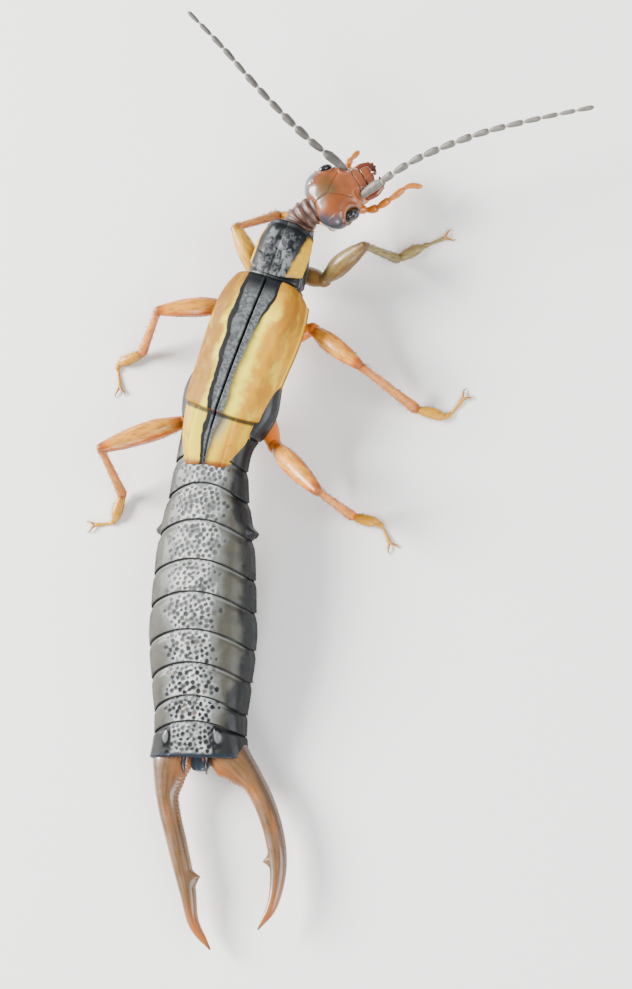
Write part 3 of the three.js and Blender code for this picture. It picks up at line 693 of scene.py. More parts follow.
def plain_finish(name, base, coats=(), **settings):
    """A finish whose coats are clouds: a colour, a scale, the cloud's edges and a strength each."""
    look = Finish(name, base, **settings)
    for colour, scale, low, high, strength in coats:
        look.coat(colour, strength, look.noise(scale, low, high))
    return look


# Trees that repeat small forms over a surface

DENSEST_PITS = 4e8
PIT_WANDER = 0.16 * MM
STRAY = 0.3
TUFT_PATCH = 0.003
BARE_BELOW = 0.18


class Growth(Nodes):
    """A geometry node tree with named inputs for its sizes."""

    def __init__(self, name, **inputs):
        super().__init__(bpy.data.node_groups.new(name, "GeometryNodeTree"))
        self.given = self.take({"Geometry": "Geometry", **inputs, "Material": "Material"})
        self.here = self.put("GeometryNodeInputPosition").outputs[0]

    def mark(self, name, kind="FLOAT"):
        node = self.put("GeometryNodeInputNamedAttribute", {"Name": name}, data_type=kind)
        return node.outputs["Attribute"]

    def store(self, geometry, name, value, kind="FLOAT", domain="POINT"):
        inputs = {"Geometry": geometry, "Name": name, "Value": value}
        return self.put("GeometryNodeStoreNamedAttribute", inputs, data_type=kind, domain=domain).outputs[0]

    def chance(self, low, high, seed, **more):
        """A random number between two limits."""
        inputs = {2: low, 3: high, "Seed": seed, **more}
        return self.put("FunctionNodeRandomValue", inputs, data_type="FLOAT").outputs[1]

    def turned(self, way):
        return self.put("FunctionNodeAlignRotationToVector", {"Vector": way}, axis="Z").outputs[0]

    def finished(self, geometry):
        """Ends the tree: instances become mesh and take the material."""
        real = self.put("GeometryNodeRealizeInstances", {"Geometry": geometry}).outputs[0]
        inputs = {"Geometry": real, "Material": self.given["Material"]}
        return self.give({"Geometry": self.put("GeometryNodeSetMaterial", inputs).outputs[0]}, "Geometry")


def grown(name, tree, mesh, **inputs):
    """Runs a node tree on a mesh and gives back the result as a plain mesh."""
    holder = add_object(name, mesh)
    modifier = holder.modifiers.new("Nodes", "NODES")
    modifier.node_group = tree
    for item in tree.interface.items_tree:
        if item.in_out == "INPUT" and item.name in inputs:
            modifier[item.identifier] = inputs[item.name]
    evaluated = holder.evaluated_get(bpy.context.evaluated_depsgraph_get())
    result = bpy.data.meshes.new_from_object(evaluated)
    result.name = name
    bpy.data.objects.remove(holder)
    return result


def pits_tree():
    """Sinks round pits into a surface where its pitted mark allows them, and marks how near they are."""
    grow = Growth("Pits", Spacing=0.0002, Radius=0.0001, Depth=0.00002, Seed=3)
    given, here = grow.given, grow.here
    dots = grow.put("GeometryNodeDistributePointsOnFaces", {
        "Mesh": given["Geometry"], "Distance Min": given["Spacing"], "Density Max": DENSEST_PITS,
        "Density Factor": grow.mark("pitted"), "Seed": given["Seed"]},
        distribute_method="POISSON").outputs["Points"]
    nearest = grow.put("GeometryNodeSampleNearest", {"Geometry": dots}, domain="POINT").outputs[0]
    middle = grow.put("GeometryNodeSampleIndex", {"Geometry": dots, "Value": here, "Index": nearest},
                      data_type="FLOAT_VECTOR", domain="POINT").outputs[0]
    cloud = grow.put("ShaderNodeTexNoise", {
        "Vector": grow.vectors("MULTIPLY", here, (1 / MM,) * 3), "Scale": 7.0}).outputs["Color"]
    wander = grow.vectors("SUBTRACT", cloud, (0.5, 0.5, 0.5))
    ragged = grow.vectors("ADD", here, grow.vectors("MULTIPLY", wander, (PIT_WANDER,) * 3))
    apart = grow.put("ShaderNodeVectorMath", {0: ragged, 1: middle}, operation="DISTANCE").outputs["Value"]
    reach = grow.times(given["Radius"], grow.chance(0.7, 1.15, given["Seed"], ID=nearest))
    near = grow.maths("DIVIDE", apart, reach)
    sink = grow.times(grow.under(near, 0.45, 1.1), grow.times(given["Depth"], -1.0))
    marked = grow.store(given["Geometry"], "near", grow.maths("MINIMUM", near, 3.0))
    toned = grow.store(marked, "tone", grow.chance(0.0, 1.0, 8, ID=nearest))
    normal = grow.put("GeometryNodeInputNormal").outputs[0]
    moved = grow.put("GeometryNodeSetPosition", {"Geometry": toned, "Offset": grow.scaled(normal, sink)})
    return grow.finished(moved.outputs[0])


def bristles_tree():
    """Plants tapering bristles that lean along the lay of a surface, denser where it is marked hairy."""
    grow = Growth("Bristles", Density=1e7, Length=0.0002, Thickness=0.00001, Lean=1.2, Seed=5)
    given = grow.given
    scatter = grow.put("GeometryNodeDistributePointsOnFaces", {
        "Mesh": given["Geometry"], "Density": grow.times(grow.mark("hairy"), given["Density"]),
        "Seed": given["Seed"]}, distribute_method="RANDOM").outputs
    lean = grow.scaled(grow.mark("lay", "FLOAT_VECTOR"), given["Lean"])
    stray = grow.put("FunctionNodeRandomValue", {0: (-STRAY,) * 3, 1: (STRAY,) * 3, "Seed": given["Seed"]},
                     data_type="FLOAT_VECTOR").outputs[0]
    way = grow.vectors("ADD", grow.vectors("ADD", lean, stray), scatter["Normal"])
    cone = grow.put("GeometryNodeMeshCone", {
        "Vertices": 4, "Side Segments": 2, "Radius Top": 0.12, "Radius Bottom": 1.0, "Depth": 1.0}).outputs
    tuft = grow.store(cone["Mesh"], "tuft", cone["UV Map"], "FLOAT2", "CORNER")
    length = grow.times(given["Length"], grow.chance(0.55, 1.25, given["Seed"]))
    planted = grow.put("GeometryNodeInstanceOnPoints", {
        "Points": scatter["Points"], "Instance": tuft, "Rotation": grow.turned(way),
        "Scale": grow.joined(given["Thickness"], given["Thickness"], length)}).outputs[0]
    real = grow.put("GeometryNodeRealizeInstances", {"Geometry": planted}).outputs[0]
    patch = grow.scaled(grow.mark("tuft", "FLOAT_VECTOR"), TUFT_PATCH)
    bake = grow.vectors("ADD", grow.mark("root", "FLOAT_VECTOR"), patch)
    mapped = grow.store(real, "OFBake", bake, "FLOAT2", "CORNER")
    x, y, z = grow.parted(grow.here)
    above_floor = grow.joined(x, y, grow.maths("MAXIMUM", z, 0.0))
    lifted = grow.put("GeometryNodeSetPosition", {"Geometry": mapped, "Position": above_floor})
    return grow.finished(lifted.outputs[0])


def beads_tree():
    """Sets a bead at each point, along its lay and to its size."""
    grow = Growth("Beads", Fineness=16)
    dots = grow.put("GeometryNodeMeshToPoints", {"Mesh": grow.given["Geometry"]}).outputs[0]
    fineness = grow.given["Fineness"]
    ball = grow.put("GeometryNodeMeshUVSphere", {"Segments": fineness, "Rings": fineness}).outputs["Mesh"]
    x, y, z = grow.parted(grow.here)
    blunt = grow.maths("SQRT", grow.maths("ADD", grow.times(z, z), 1.0))
    fuller = grow.times(blunt, grow.maths("MULTIPLY_ADD", z, 0.16, 0.94))
    shaped = grow.joined(grow.times(x, fuller), grow.times(y, fuller), z)
    bead = grow.put("GeometryNodeSetPosition", {"Geometry": ball, "Position": shaped}).outputs[0]
    strung = grow.put("GeometryNodeInstanceOnPoints", {
        "Points": dots, "Instance": bead, "Rotation": grow.turned(grow.mark("lay", "FLOAT_VECTOR")),
        "Scale": grow.mark("size", "FLOAT_VECTOR")})
    return grow.finished(strung.outputs[0])


def facets_tree():
    """A ball of six-sided facets, each slightly domed towards its middle."""
    grow = Growth("Facets", Detail=5, Dome=0.012)
    given = grow.given
    ball = grow.put("GeometryNodeMeshIcoSphere", {"Radius": 1.0, "Subdivisions": given["Detail"]})
    cells = grow.put("GeometryNodeDualMesh", {"Mesh": ball.outputs["Mesh"]})
    raised = grow.put("GeometryNodeExtrudeMesh", {
        "Mesh": cells.outputs[0], "Offset Scale": given["Dome"], "Individual": True}, mode="FACES").outputs
    narrowed = grow.put("GeometryNodeScaleElements", {
        "Geometry": raised["Mesh"], "Selection": raised["Top"], "Scale": 0.72}, domain="FACE")
    return grow.finished(narrowed.outputs[0])


def bristle_finish():
    """One finish for all bristles, made when it is first asked for."""
    if "bristle" in bpy.data.materials:
        return bpy.data.materials["bristle"]
    coats = [(("bristle", 0.5), 4, 0.4, 0.6, 0.6)]
    return plain_finish("bristle", "bristle", coats, roughness=0.45, relief=0.0).done()


def bristles_on(name, shells, density, lean, seed, length=1.0, thickness=1.0):
    """Bristles over a few shells, as a piece of their own, so many times as long and thick as is set."""
    sizes = bpy.context.scene.earwig_sizes
    for i, one in enumerate(shells):
        marks = one["marks"]
        marks["root"] = (marks["root"] * (0.98, 1, 1) + (i, 0, 0)) / (len(shells), 1, 1)
        marks["hairy"] = marks["hairy"] * (one["points"][:, 2:] > BARE_BELOW)
    material = bristle_finish()
    mesh = grown(name, bristles_tree(), mesh_of(name + "_ground", shells), Density=density, Lean=lean,
                 Length=sizes.bristle_length * length, Thickness=sizes.bristle_thickness * thickness,
                 Seed=seed, Material=material)
    mesh.attributes.remove(mesh.attributes["tuft"])
    return finish_piece(name, mesh, material)


# Trunk: the skin of the thorax and of the belly

TRUNK_WIDE = through((0, 0.78), (1.2, 1.0), (2.5, 1.25), (4.2, 1.6), (6.3, 1.85), (7.6, 2.1), (8.5, 1.92),
                     (9.3, 1.56), (11.2, 1.62), (12.8, 1.9), (14.15, 2.08), (16.15, 2.2), (17.3, 2.25),
                     (18.9, 2.1), (20.5, 1.93), (21.4, 1.98), (22.05, 2.12))
TRUNK_TOP = through((0, 0.4), (1.5, 0.42), (3, 0.7), (8.5, 0.7), (10.6, 0.74), (12.8, 1.02), (16, 1.25),
                    (18.9, 1.15), (20.5, 1.0), (22.05, 0.78))
TRUNK_BOTTOM = through((0, 0.6), (2, 0.85), (5, 0.95), (8.5, 1.0), (12.8, 1.2), (16, 1.38), (18.9, 1.47),
                       (20.5, 1.34), (22.05, 0.95))
TRUNK_POWER = 0.8
ROWS_TO_MM = 27
PIT_SEED = 3


def trunk_ring(station, turn, inward, lift=0):
    """The outline of the trunk at a station, moved out of or into its plain form."""
    return oval(turn, TRUNK_WIDE(station) + inward, TRUNK_TOP(station) + inward + lift,
                TRUNK_BOTTOM(station) + inward, TRUNK_POWER)


def uneven_turns(top, bottom):
    """Turns round a ring, with more of them over its top than below."""
    return np.concatenate([np.linspace(0, np.pi, top, endpoint=False),
                           np.linspace(np.pi, 2 * np.pi, bottom, endpoint=False)])


def ring_rows(lap, step):
    """Each row of the belly: its station, how far it stands out, its ring and its place in it."""
    rows = []
    last = len(BELLY_JOINTS) - 2
    for i, (start, end) in enumerate(zip(BELLY_JOINTS, BELLY_JOINTS[1:])):
        over = 0 if i == last else lap
        for t in np.linspace(0, 1, round((end - start) * ROWS_TO_MM)):
            tuck = step * (1 - smooth(t, 0, 0.3)) if i else 0
            rows.append((lerp(start, end + over, t), -tuck + 0.02 * math.sin(math.pi * t), i, t))
        if i != last:
            for back, inward in ((0.012, -0.025), (-0.005, -0.05), (-0.05, -step)):
                rows.append((end + lap + back, inward, i, 1))
    for back, inward in ((0.03, -0.05), (0.0, -0.16), (-0.1, -0.4), (-0.2, -0.9)):
        rows.append((BELLY_JOINTS[-1] + back, inward, last, 1))
    return np.array(rows)


def belly_shell():
    """The ringed skin of the belly, with marks for its seams, flanks, pits and bristles."""
    sizes = bpy.context.scene.earwig_sizes
    lap = sizes.ring_lap / MM
    turn = uneven_turns(150, 64)
    aside, rise = np.abs(np.cos(turn)), np.sin(turn)
    s, inward, ring, t = (column[:, None] for column in ring_rows(lap, sizes.ring_step / MM).T)
    start, end = (np.array(BELLY_JOINTS)[ring.astype(int) + k] for k in (0, 1))
    below = smooth(-rise, 0.12, 0.2)
    inward = inward * (1 - 0.4 * below) - 0.06 * below + 0.03 * bump(rise, -0.1, 0.06)
    sweep = sizes.ring_bow / MM * aside ** 1.6 * (1 - smooth(s, 20.2, 21.6)) * smooth(s, 9, 10.5)
    swelling = bump(aside, 0.5, 0.09) * bump(s, 21.25, 0.34) * (rise > 0)
    right, up = trunk_ring(s + sweep, turn, inward, 0.1 * swelling)
    lobe = bump(s, 12.42, 0.2) * bump(aside, 1, 0.03) * (s < 12.6) * (rise > -0.3)
    right = right * (1 + 0.13 * lobe)
    inside = smooth(t, 0.08, 0.16) * (1 - smooth(t, 0.9, 0.95))
    spread = 1 - smooth(np.abs(right) + 0.1 * np.sin(7 * s + 2 * ring), 0.8, 1.35)
    return skin(spot(s + sweep, right, up), lie=together(s, right, up), seam=end + lap - s, lead=s - start,
                pitted=spread * inside * (rise > 0.1) * (s > 10.2) * (swelling < 0.3),
                hairy=bump(t, 0.93, 0.05) * (rise > -0.6) * (s > 10) + 0.12 * (aside > 0.85),
                aside=np.abs(right / TRUNK_WIDE(s + sweep)), swelling=swelling)


def pit_coats(look, along, wavy):
    """The grey middle of the belly, the pale network on it and the dark pits."""
    near, tone = look.mark("near"), look.mark("tone")
    middle, tail = look.under(wavy, 1.55, 1.85), look.above(along, 14.5, 20.0)
    look.coat(("belly_side", 0.72), 0.6, look.noise(2.4, 0.42, 0.66))
    look.coat("belly", 0.8, look.under(wavy, 0.91, 1.59))
    look.coat(("belly", 0.6), 0.6, look.noise(3.2, 0.45, 0.6), look.under(wavy, 1.1, 1.5))
    network = look.times(look.stripe(near, 0.95, 1.7, 0.25), look.under(wavy, 0.68, 1.28))
    look.coat("belly_pale", 0.85, network, look.noise(1.7, 0.3, 0.58))
    pits = look.times(look.under(near, 0.62, 0.98), middle)
    floors = look.times(look.under(near, 0.25, 0.65), middle)
    weight = look.times(look.fade(tone, 0.0, 0.8, 0.45, 1.0), look.maths("MULTIPLY_ADD", tail, 0.35, 0.65))
    look.coat("pit", 1, pits, weight)
    look.coat(("pit", 0.3), 1, floors, look.maths("MULTIPLY_ADD", tail, 0.6, 0.3), weight)
    look.coat("case_brown", 0.5, floors, tail, look.under(tone, 0.06, 0.12))
    look.carve(pits, 0.5)


def flank_coats(look, along, across, up):
    """Dark flanks with ragged edges, partly the animal's own colour and partly painted shade, reaching
    further in at both ends of the right side as painted shade, and a patch of painted shade at the left of
    the front rings.
    """
    # Painted shade: the dark flank reaches further in at both ends of the right side.
    front, rear = look.fade(along, 11.4, 13.0, 0.12, 0.0), look.fade(along, 17.8, 19.6, 0.0, 0.14)
    painted_shade_right = look.times(look.maths("ADD", front, rear), look.above(across, -0.5, 0.5))
    aside = look.maths("ADD", look.wavy(look.mark("aside"), 0.1, 1.5), painted_shade_right)
    flank = look.maths("MAXIMUM", look.above(aside, 0.84, 1.04), look.under(up, -0.1, 0.25))
    # Painted shade: a dark patch at the left of the front rings.
    painted_shade_left = look.times(look.under(across, -1.3, -0.8), look.under(along, 11.2, 12.4))
    look.coat("slate", 0.45, painted_shade_left, look.noise(1.6, 0.3, 0.6))
    look.coat(("slate", 0.7), 1, flank)
    look.coat(("black", 0.5), 0.8, flank, look.noise(1.1, 0.4, 0.6))
    return flank


def belly_finish():
    """Pitted grey rings with black flanks that are partly painted shade, brown plates below, and two glossy
    swellings by a black end, each swelling with a painted highlight.
    """
    look = Finish("belly cuticle", "belly_side", roughness=0.44, coat=0.05, grain=22, relief=0.2,
                  specular=0.25)
    along, across, up = look.lie()
    seam, lead, swelling = (look.mark(name) for name in ("seam", "lead", "swelling"))
    wavy = look.wavy(look.maths("ABSOLUTE", across), 0.3, 1.3)
    pit_coats(look, along, wavy)
    flank = flank_coats(look, along, across, up)
    look.coat(("pit", 0.55), 1, look.under(seam, 0.03, 0.08))
    look.coat(("black", 0.9), 1, look.under(lead, 0.02, 0.09))
    look.coat(("belly", 1.3), 0.5, look.stripe(lead, 0.12, 0.2, 0.03), look.away(flank))
    last = look.above(along, 20.62, 20.74)
    look.coat("black", 1, last, look.stripe(wavy, 1.05, 1.35, 0.12), look.above(up, 0.0, 0.3))
    look.coat("black", 0.9, last, look.above(wavy, 1.23, 1.47))
    look.coat("pit", 0.45, last, look.under(wavy, 0.93, 1.17), look.noise(2.4, 0.35, 0.6))
    underside = look.times(look.under(up, -0.5, -0.3), look.under(look.mark("aside"), 0.72, 0.86))
    look.coat("belly_plate", 0.9, underside, look.above(lead, 0.1, 0.3), look.above(seam, 0.08, 0.2))
    look.coat("black", 1, look.above(swelling, 0.04, 0.16))
    # Painted highlight: a pale patch in the middle of each glossy swelling.
    look.coat("belly_pale", 0.22, look.above(swelling, 0.35, 0.7))
    look.polish(look.above(swelling, 0.15, 0.5), 0.3)
    look.coat(("tail_plate", 0.35), 1, look.above(along, 21.85, 22.0))
    return look.done()


def make_belly():
    sizes = bpy.context.scene.earwig_sizes
    ground, material = belly_shell(), belly_finish()
    pitted = grown("belly_skin", pits_tree(), mesh_of("belly_ground", [ground]), Spacing=sizes.pit_spacing,
                   Radius=sizes.pit_size, Depth=sizes.pit_depth, Seed=PIT_SEED, Material=material)
    rings = [f"abdomen_{i}" for i in range(1, len(BELLY_JOINTS))]
    finish_piece("belly_skin", pitted, material, rings)
    bristles_on("belly_bristles", [ground], density=4.5e7, lean=2.2, seed=11, length=0.9)
    make_tail_plate()
    make_tail_spines()


def tail_plate_finish():
    """Shiny blue-grey with a black end."""
    look = Finish("tail plate", "tail_plate", roughness=0.3, coat=0.4, grain=18, relief=0.12)
    look.coat("black", 0.3, look.noise(2.5, 0.45, 0.6))
    look.coat(("black", 0.6), 0.8, look.above(look.lie()[0], 0.86, 0.98))
    return look.done()


def make_tail_plate():
    """The small plate between the forceps."""
    t, turn = np.linspace(0, 1, 26)[:, None], full_turn(40)
    full = np.sqrt(np.clip(1 - (0.88 * t) ** 4, 0, 1)) * (1 - 0.12 * t)
    full = full * np.where(t > 0.9, np.sqrt(np.clip(1 - ((t - 0.9) / 0.1) ** 2 * 0.85, 0, 1)), 1)
    right, up = oval(turn, 0.44 * full, 0.27 * full, 0.32 * full, 0.8)
    crease = 0.05 * bump(right, 0, 0.05) * (up > 0)
    grid = spot(BELLY_JOINTS[-1] - 0.1 + 0.62 * t, right, up - 0.12 - crease)
    piece_of("tail_plate", [skin(grid, lie=together(t, right, up))], tail_plate_finish(),
             ["pygidium"])


# How far back, how far out and how high a spine starts, bends and ends
TAIL_SPINE = ((21.75, 0.46, 0.5), (22.25, 0.5, 0.46), (22.72, 0.49, 0.3))


def make_tail_spines():
    """The two spines above the tail plate."""
    taper = through((0, 0.17), (0.4, 0.13), (1, 0.02))
    spines = []
    for side in SIDES.values():
        points = [spot(s, side * out, up) for s, out, up in TAIL_SPINE]
        spines.append(tube_skin(line_through(points, 20), taper, taper, sides=16, rows=24))
    look = Finish("tail spine", "black", roughness=0.28, coat=0.4, relief=0.05)
    along, across, _ = look.lie()
    look.coat("blade_glow", 0.7, look.stripe(along, 0.0, 0.42, 0.08), look.above(across, 0.1, 0.6))
    piece_of("tail_spines", spines, look.done())


def thorax_shell():
    """The skin under the shield and the wing cases, with grooves, side plates and dents at the hips."""
    turn = uneven_turns(110, 90)
    s, rise = np.linspace(0.12, 9.3, 230)[:, None], np.sin(turn)
    groove = sum(0.09 * bump(s, joint, 0.07) for joint in THORAX_JOINTS)
    below = smooth(-rise, 0.1, 0.35)
    plates = 0.05 * bump(rise, -0.16, 0.05) + 0.04 * bump(rise, -0.62, 0.05)
    folds = 0.035 * np.sin(turn * 26) * bump(s, 1.2, 0.9) * bump(rise, 0.05, 0.3)
    breast = 0.06 * below * bump(np.abs(np.cos(turn)), 0.35, 0.1)
    right, up = trunk_ring(s, turn, folds - groove - plates - breast)
    for pair in LEGS.values():
        station, out, _ = pair["hip"]
        for side in SIDES.values():
            up = up - 0.1 * below * bump(np.hypot(s - station, right - side * out), 0.3, 0.28)
    return skin(spot(s, right, up), lie=together(s, right, up))


def thorax_finish():
    """Black-grey with pale streaks under the shield and brown plates below."""
    look = Finish("thorax cuticle", "slate", roughness=0.42, coat=0.1, grain=18, relief=0.18, specular=0.35)
    along, _, up = look.lie()
    streaks = look.noise(2.0, 0.5, 0.62, look.stretched(1.2, 0.35, 3.5))
    look.coat("black", 0.8, look.noise(1.6, 0.35, 0.6))
    look.coat("mottle", 0.55, streaks, look.under(along, 2.5, 2.7), look.above(up, -0.7, -0.3))
    look.coat("belly_plate", 0.85, look.under(up, -0.86, -0.66))
    return look.done()


def make_thorax():
    nodes = ["prothorax", "mesothorax", "metathorax"]
    piece_of("thorax_skin", [thorax_shell()], thorax_finish(), nodes)


# Neck

NECK = {"line": ((0.55, 0.0, -0.12), (0.2, 0.05, -0.12), (-0.25, 0.1, -0.1)), "folds": 6.3, "deep": 0.06}


def neck_folds(t):
    return 1 - NECK["deep"] * (1 - np.cos(2 * np.pi * NECK["folds"] * t))


def neck_wrinkles(t, turn):
    return 0.016 * np.sin(t * 120 + 3 * np.sin(turn * 2)) + 0.014 * np.sin(t * 71 + 2 * np.cos(turn * 3))


def neck_finish():
    """Pinkish brown with pale streaks, and dark in the folds."""
    look = Finish("neck skin", "neck", roughness=0.45, coat=0.1, grain=20, relief=0.25)
    deep = look.under(look.mark("fold"), 0.89, 0.96)
    look.coat("neck_fold", 0.85, deep)
    look.coat(("neck", 1.55), 0.6, look.away(deep), look.noise(2.2, 0.5, 0.62, look.stretched(1.4, 1.4, 3)))
    look.coat("neck_fold", 0.6, look.noise(2.0, 0.42, 0.62, look.stretched(1.6, 1.6, 1)))
    return look.done()


def make_neck():
    points = [spot(*place) for place in NECK["line"]]
    line = line_through([*points, face(-0.22, 0, -0.02), face(0.3, 0, 0)], 80)
    grid, lie = tube(line, lambda t: lerp(0.8, 0.6, t) * neck_folds(t),
                     lambda t: lerp(0.5, 0.44, t) * neck_folds(t), sides=72, rows=160, swell=neck_wrinkles)
    neck = skin(grid, lie=lie, fold=neck_folds(lie[..., 0]))
    piece_of("neck_skin", [neck], neck_finish(), ["neck"])


# Shield over the first thorax ring

SHIELD = {"wide": 1.27, "top": 0.86, "edge": 0.22, "front": 0.02, "rear": 2.32, "front_corner": 0.35,
          "rear_corner": 0.3, "narrow": 0.84, "dip": 0.1}


def shield_plate():
    thickness = bpy.context.scene.earwig_sizes.shield_thickness / MM
    u, along, fullness = plate_grid(90, 2 * SHIELD["wide"], 80, SHIELD["rear"], thickness / 2)
    across = 2 * u - 1
    aside, bend = np.abs(across), np.abs(across) ** 3
    s = lerp(SHIELD["front"] + SHIELD["front_corner"] * bend,
             SHIELD["rear"] - SHIELD["rear_corner"] * bend, along)
    wide = SHIELD["wide"] * lerp(SHIELD["narrow"], 1, smooth(s, 0, 1.1))
    up = lerp(SHIELD["edge"], SHIELD["top"], 1 - across ** 4) - SHIELD["dip"] * (1 - smooth(s, 0, 0.8))
    rim = 0.045 * smooth(aside, 0.9, 0.97) - 0.035 * bump(aside, 0.85, 0.05)
    disc = 0.05 * bump(aside, 0.34, 0.22) * bump(along, 0.33, 0.22)
    line = -0.03 * bump(across, 0, 0.03) * bump(along, 0.45, 0.35)
    cross = -0.03 * bump(along, 0.68 - 0.1 * across ** 2, 0.035) * (1 - smooth(aside, 0.55, 0.8))
    front_lip = 0.03 * smooth(along, 0.06, 0.02) - 0.02 * bump(along, 0.09, 0.025)
    outer = spot(s, across * wide, up + rim + disc + line + cross + front_lip)
    return plate(outer, thickness, fullness, lie=together(along, across, 0))


def shield_finish():
    """Black with grey blotches and a yellow margin, narrow at the left and broad at the right."""
    look = Finish("shield cuticle", "black", roughness=0.46, coat=0.02, grain=20, relief=0.2, specular=0.2)
    forward, side, _ = look.lie()
    inside = look.times(look.stripe(side, -0.52, 0.62, 0.08), look.above(forward, 0.14, 0.24))
    look.coat("mottle", 0.85, look.mottle(2.3, 0.52, look.stretched(1.1, 0.7, 1)), inside)
    look.coat("mottle", 0.3, inside, look.noise(7, 0.45, 0.6))
    look.coat("black", 0.9, look.stripe(side, -0.08, 0.06), look.above(forward, 0.55, 0.7))
    look.coat("black", 0.9, look.stripe(side, -0.2, -0.06), look.under(forward, 0.45, 0.6))
    look.coat("black", 0.95, look.stripe(side, -0.86, -0.56), look.under(forward, 0.9, 1.0))
    wavy = look.wavy(look.maths("ABSOLUTE", side), 0.05, 2.5)
    margin = look.maths("MAXIMUM", look.fade(forward, 0.05, 1.0, 0.8, 0.56),
                        look.fade(side, -0.2, 0.2, 0.8, 0.0))
    yellow = look.times(look.above(look.maths("SUBTRACT", wavy, margin), 0.0, 0.12),
                        look.above(forward, 0.06, 0.14))
    look.coat("margin", 0.95, yellow)
    look.coat(("margin", 1.3), 0.5, yellow, look.noise(3.2, 0.5, 0.65))
    look.coat("mottle", 0.6, look.above(forward, 0.93, 0.97), look.noise(5, 0.45, 0.55))
    return look.done()


def make_shield():
    piece_of("shield", [shield_plate()], shield_finish(), ["pronotum"])


# Wing cases and wing tips

ARCH_WIDE = through((2.4, 1.5), (3.3, 1.84), (4.6, 1.98), (6, 1.92), (8.3, 1.76), (9.5, 1.5), (10.6, 1.1))
ARCH_TOP = through((2.4, 0.84), (3.5, 0.98), (5.5, 1.08), (8.3, 1.04), (10.6, 0.88))
ARCH = {"edge": -0.15, "power": 0.58, "seam": 0.03, "arc": 2.75}
BAND = {"left": through((2.4, 1.05), (5.5, 0.78), (8.4, 0.5), (10.6, 0.38)),
        "right": through((2.4, 1.0), (3.6, 0.7), (5.5, 0.5), (8.4, 0.48), (10.6, 0.2))}
# The left case has a narrow pale stripe and the right a broad one, beside a band that fades out
CASE_LOOKS = {
    "left": {"base": ("ochre", 0.62), "brown": 0.6, "pale": 0.34, "rim": 0.2, "edge": 2.3, "fading": 0.03,
             "core": -0.14, "tip_yellow": (1.0, 0.9), "tip_grey": 0.1},
    "right": {"base": "ochre", "brown": 0.32, "pale": 0.62, "rim": 0.55, "edge": 2.6, "fading": 0.26,
              "core": -0.04, "tip_yellow": (0.6, 0.55), "tip_grey": 0.75},
}


def arch_turns(places):
    """Turns of the arch at even places along it, from its ridge to its side edge."""
    turn = np.linspace(np.pi / 2, 0, 600)
    right, up = oval(turn, 1.88, 1.2, 0, ARCH["power"])
    way = np.concatenate([[0], np.cumsum(np.hypot(np.diff(right), np.diff(up)))])
    return np.interp(places * way[-1], way, turn)


def arch_plate(name, front, rear, length, sink, thickness, relief):
    """One half of the arch, from the middle seam out to its side edge."""
    u, v, fullness = plate_grid(84, ARCH["arc"], round(length * 22), length, thickness / 2)
    turn, arc = arch_turns(u), u * ARCH["arc"]
    share = 1 - turn / (np.pi / 2)
    s = lerp(front(share), rear(share), v)
    lift = relief(s, u, v) - sink
    right, up = oval(turn, ARCH_WIDE(s) + lift, ARCH_TOP(s) + lift - ARCH["edge"], 0, ARCH["power"])
    outer = spot(s, SIDES[name] * np.maximum(right, ARCH["seam"]), up + ARCH["edge"])
    return plate(outer, thickness, fullness, lie=together(s, arc, arc - BAND[name](s)),
                 place=together(arc * SIDES[name], s, s - case_end(share)))


def case_end(share):
    return lerp(WING["split"], WING["outer"], share ** 2)


def case_relief(s, u, v):
    """Rims, the dip beside the seam and the shoulder of a wing case."""
    rim = 0.03 * smooth(u, 0.955, 0.98) - 0.025 * bump(u, 0.935, 0.02)
    seam = -0.03 * bump(u, 0, 0.02) + 0.012 * bump(u, 0.03, 0.012)
    shoulder = 0.05 * bump(u, 0.72, 0.16) * bump(s, 3.7, 0.9)
    trough = -0.03 * bump(u, 0.4, 0.12) * smooth(s, 3.6, 5.5)
    return rim + seam + shoulder + trough - 0.03 * smooth(v, 0.97, 1.0)


def tip_relief(s, u, v):
    """Folds and the rear rim of a wing tip."""
    fold = -0.02 * bump(u, 0.36 + 0.12 * v, 0.035) + 0.02 * bump(u, 0.62, 0.1)
    rear = 0.025 * smooth(v, 0.93, 0.97) - 0.02 * bump(v, 0.9, 0.02)
    return fold + rear - 0.03 * bump(u, 0, 0.02)


def band_coats(look, case):
    """The dark band beside the seam, with its grey mottled inside."""
    along, arc, beyond = look.lie()
    patch = look.mark("place", "Vector")
    ragged = look.wavy(beyond, 0.14, 1.2, 0.25, 0.75, detail=2)
    faded = look.fade(along, 3.6, 5.2, 0.03, case["fading"])
    edge = look.maths("DIVIDE", look.maths("SUBTRACT", ragged, 0.06), faded)
    look.coat("black", 1, look.under(edge, -1, 1))
    inner = look.times(look.above(arc, 0.02, 0.06), look.under(ragged, case["core"] - 0.1, case["core"]),
                       look.above(along, 2.7, 3.5))
    look.coat("mottle", 0.62, inner)
    look.coat(("black", 1.4), 0.6, inner, look.mottle(5.0, 0.56, patch))
    look.coat(("mottle", 1.3), 0.6, inner, look.mottle(8.0, 0.42, patch))
    look.coat(("black", 0.7), 1, look.under(arc, 0.015, 0.045))


def past_split(look):
    """How far a point lies behind the line between the wing cases and the wing tips."""
    return look.parted(look.mark("place", "Vector"))[2]


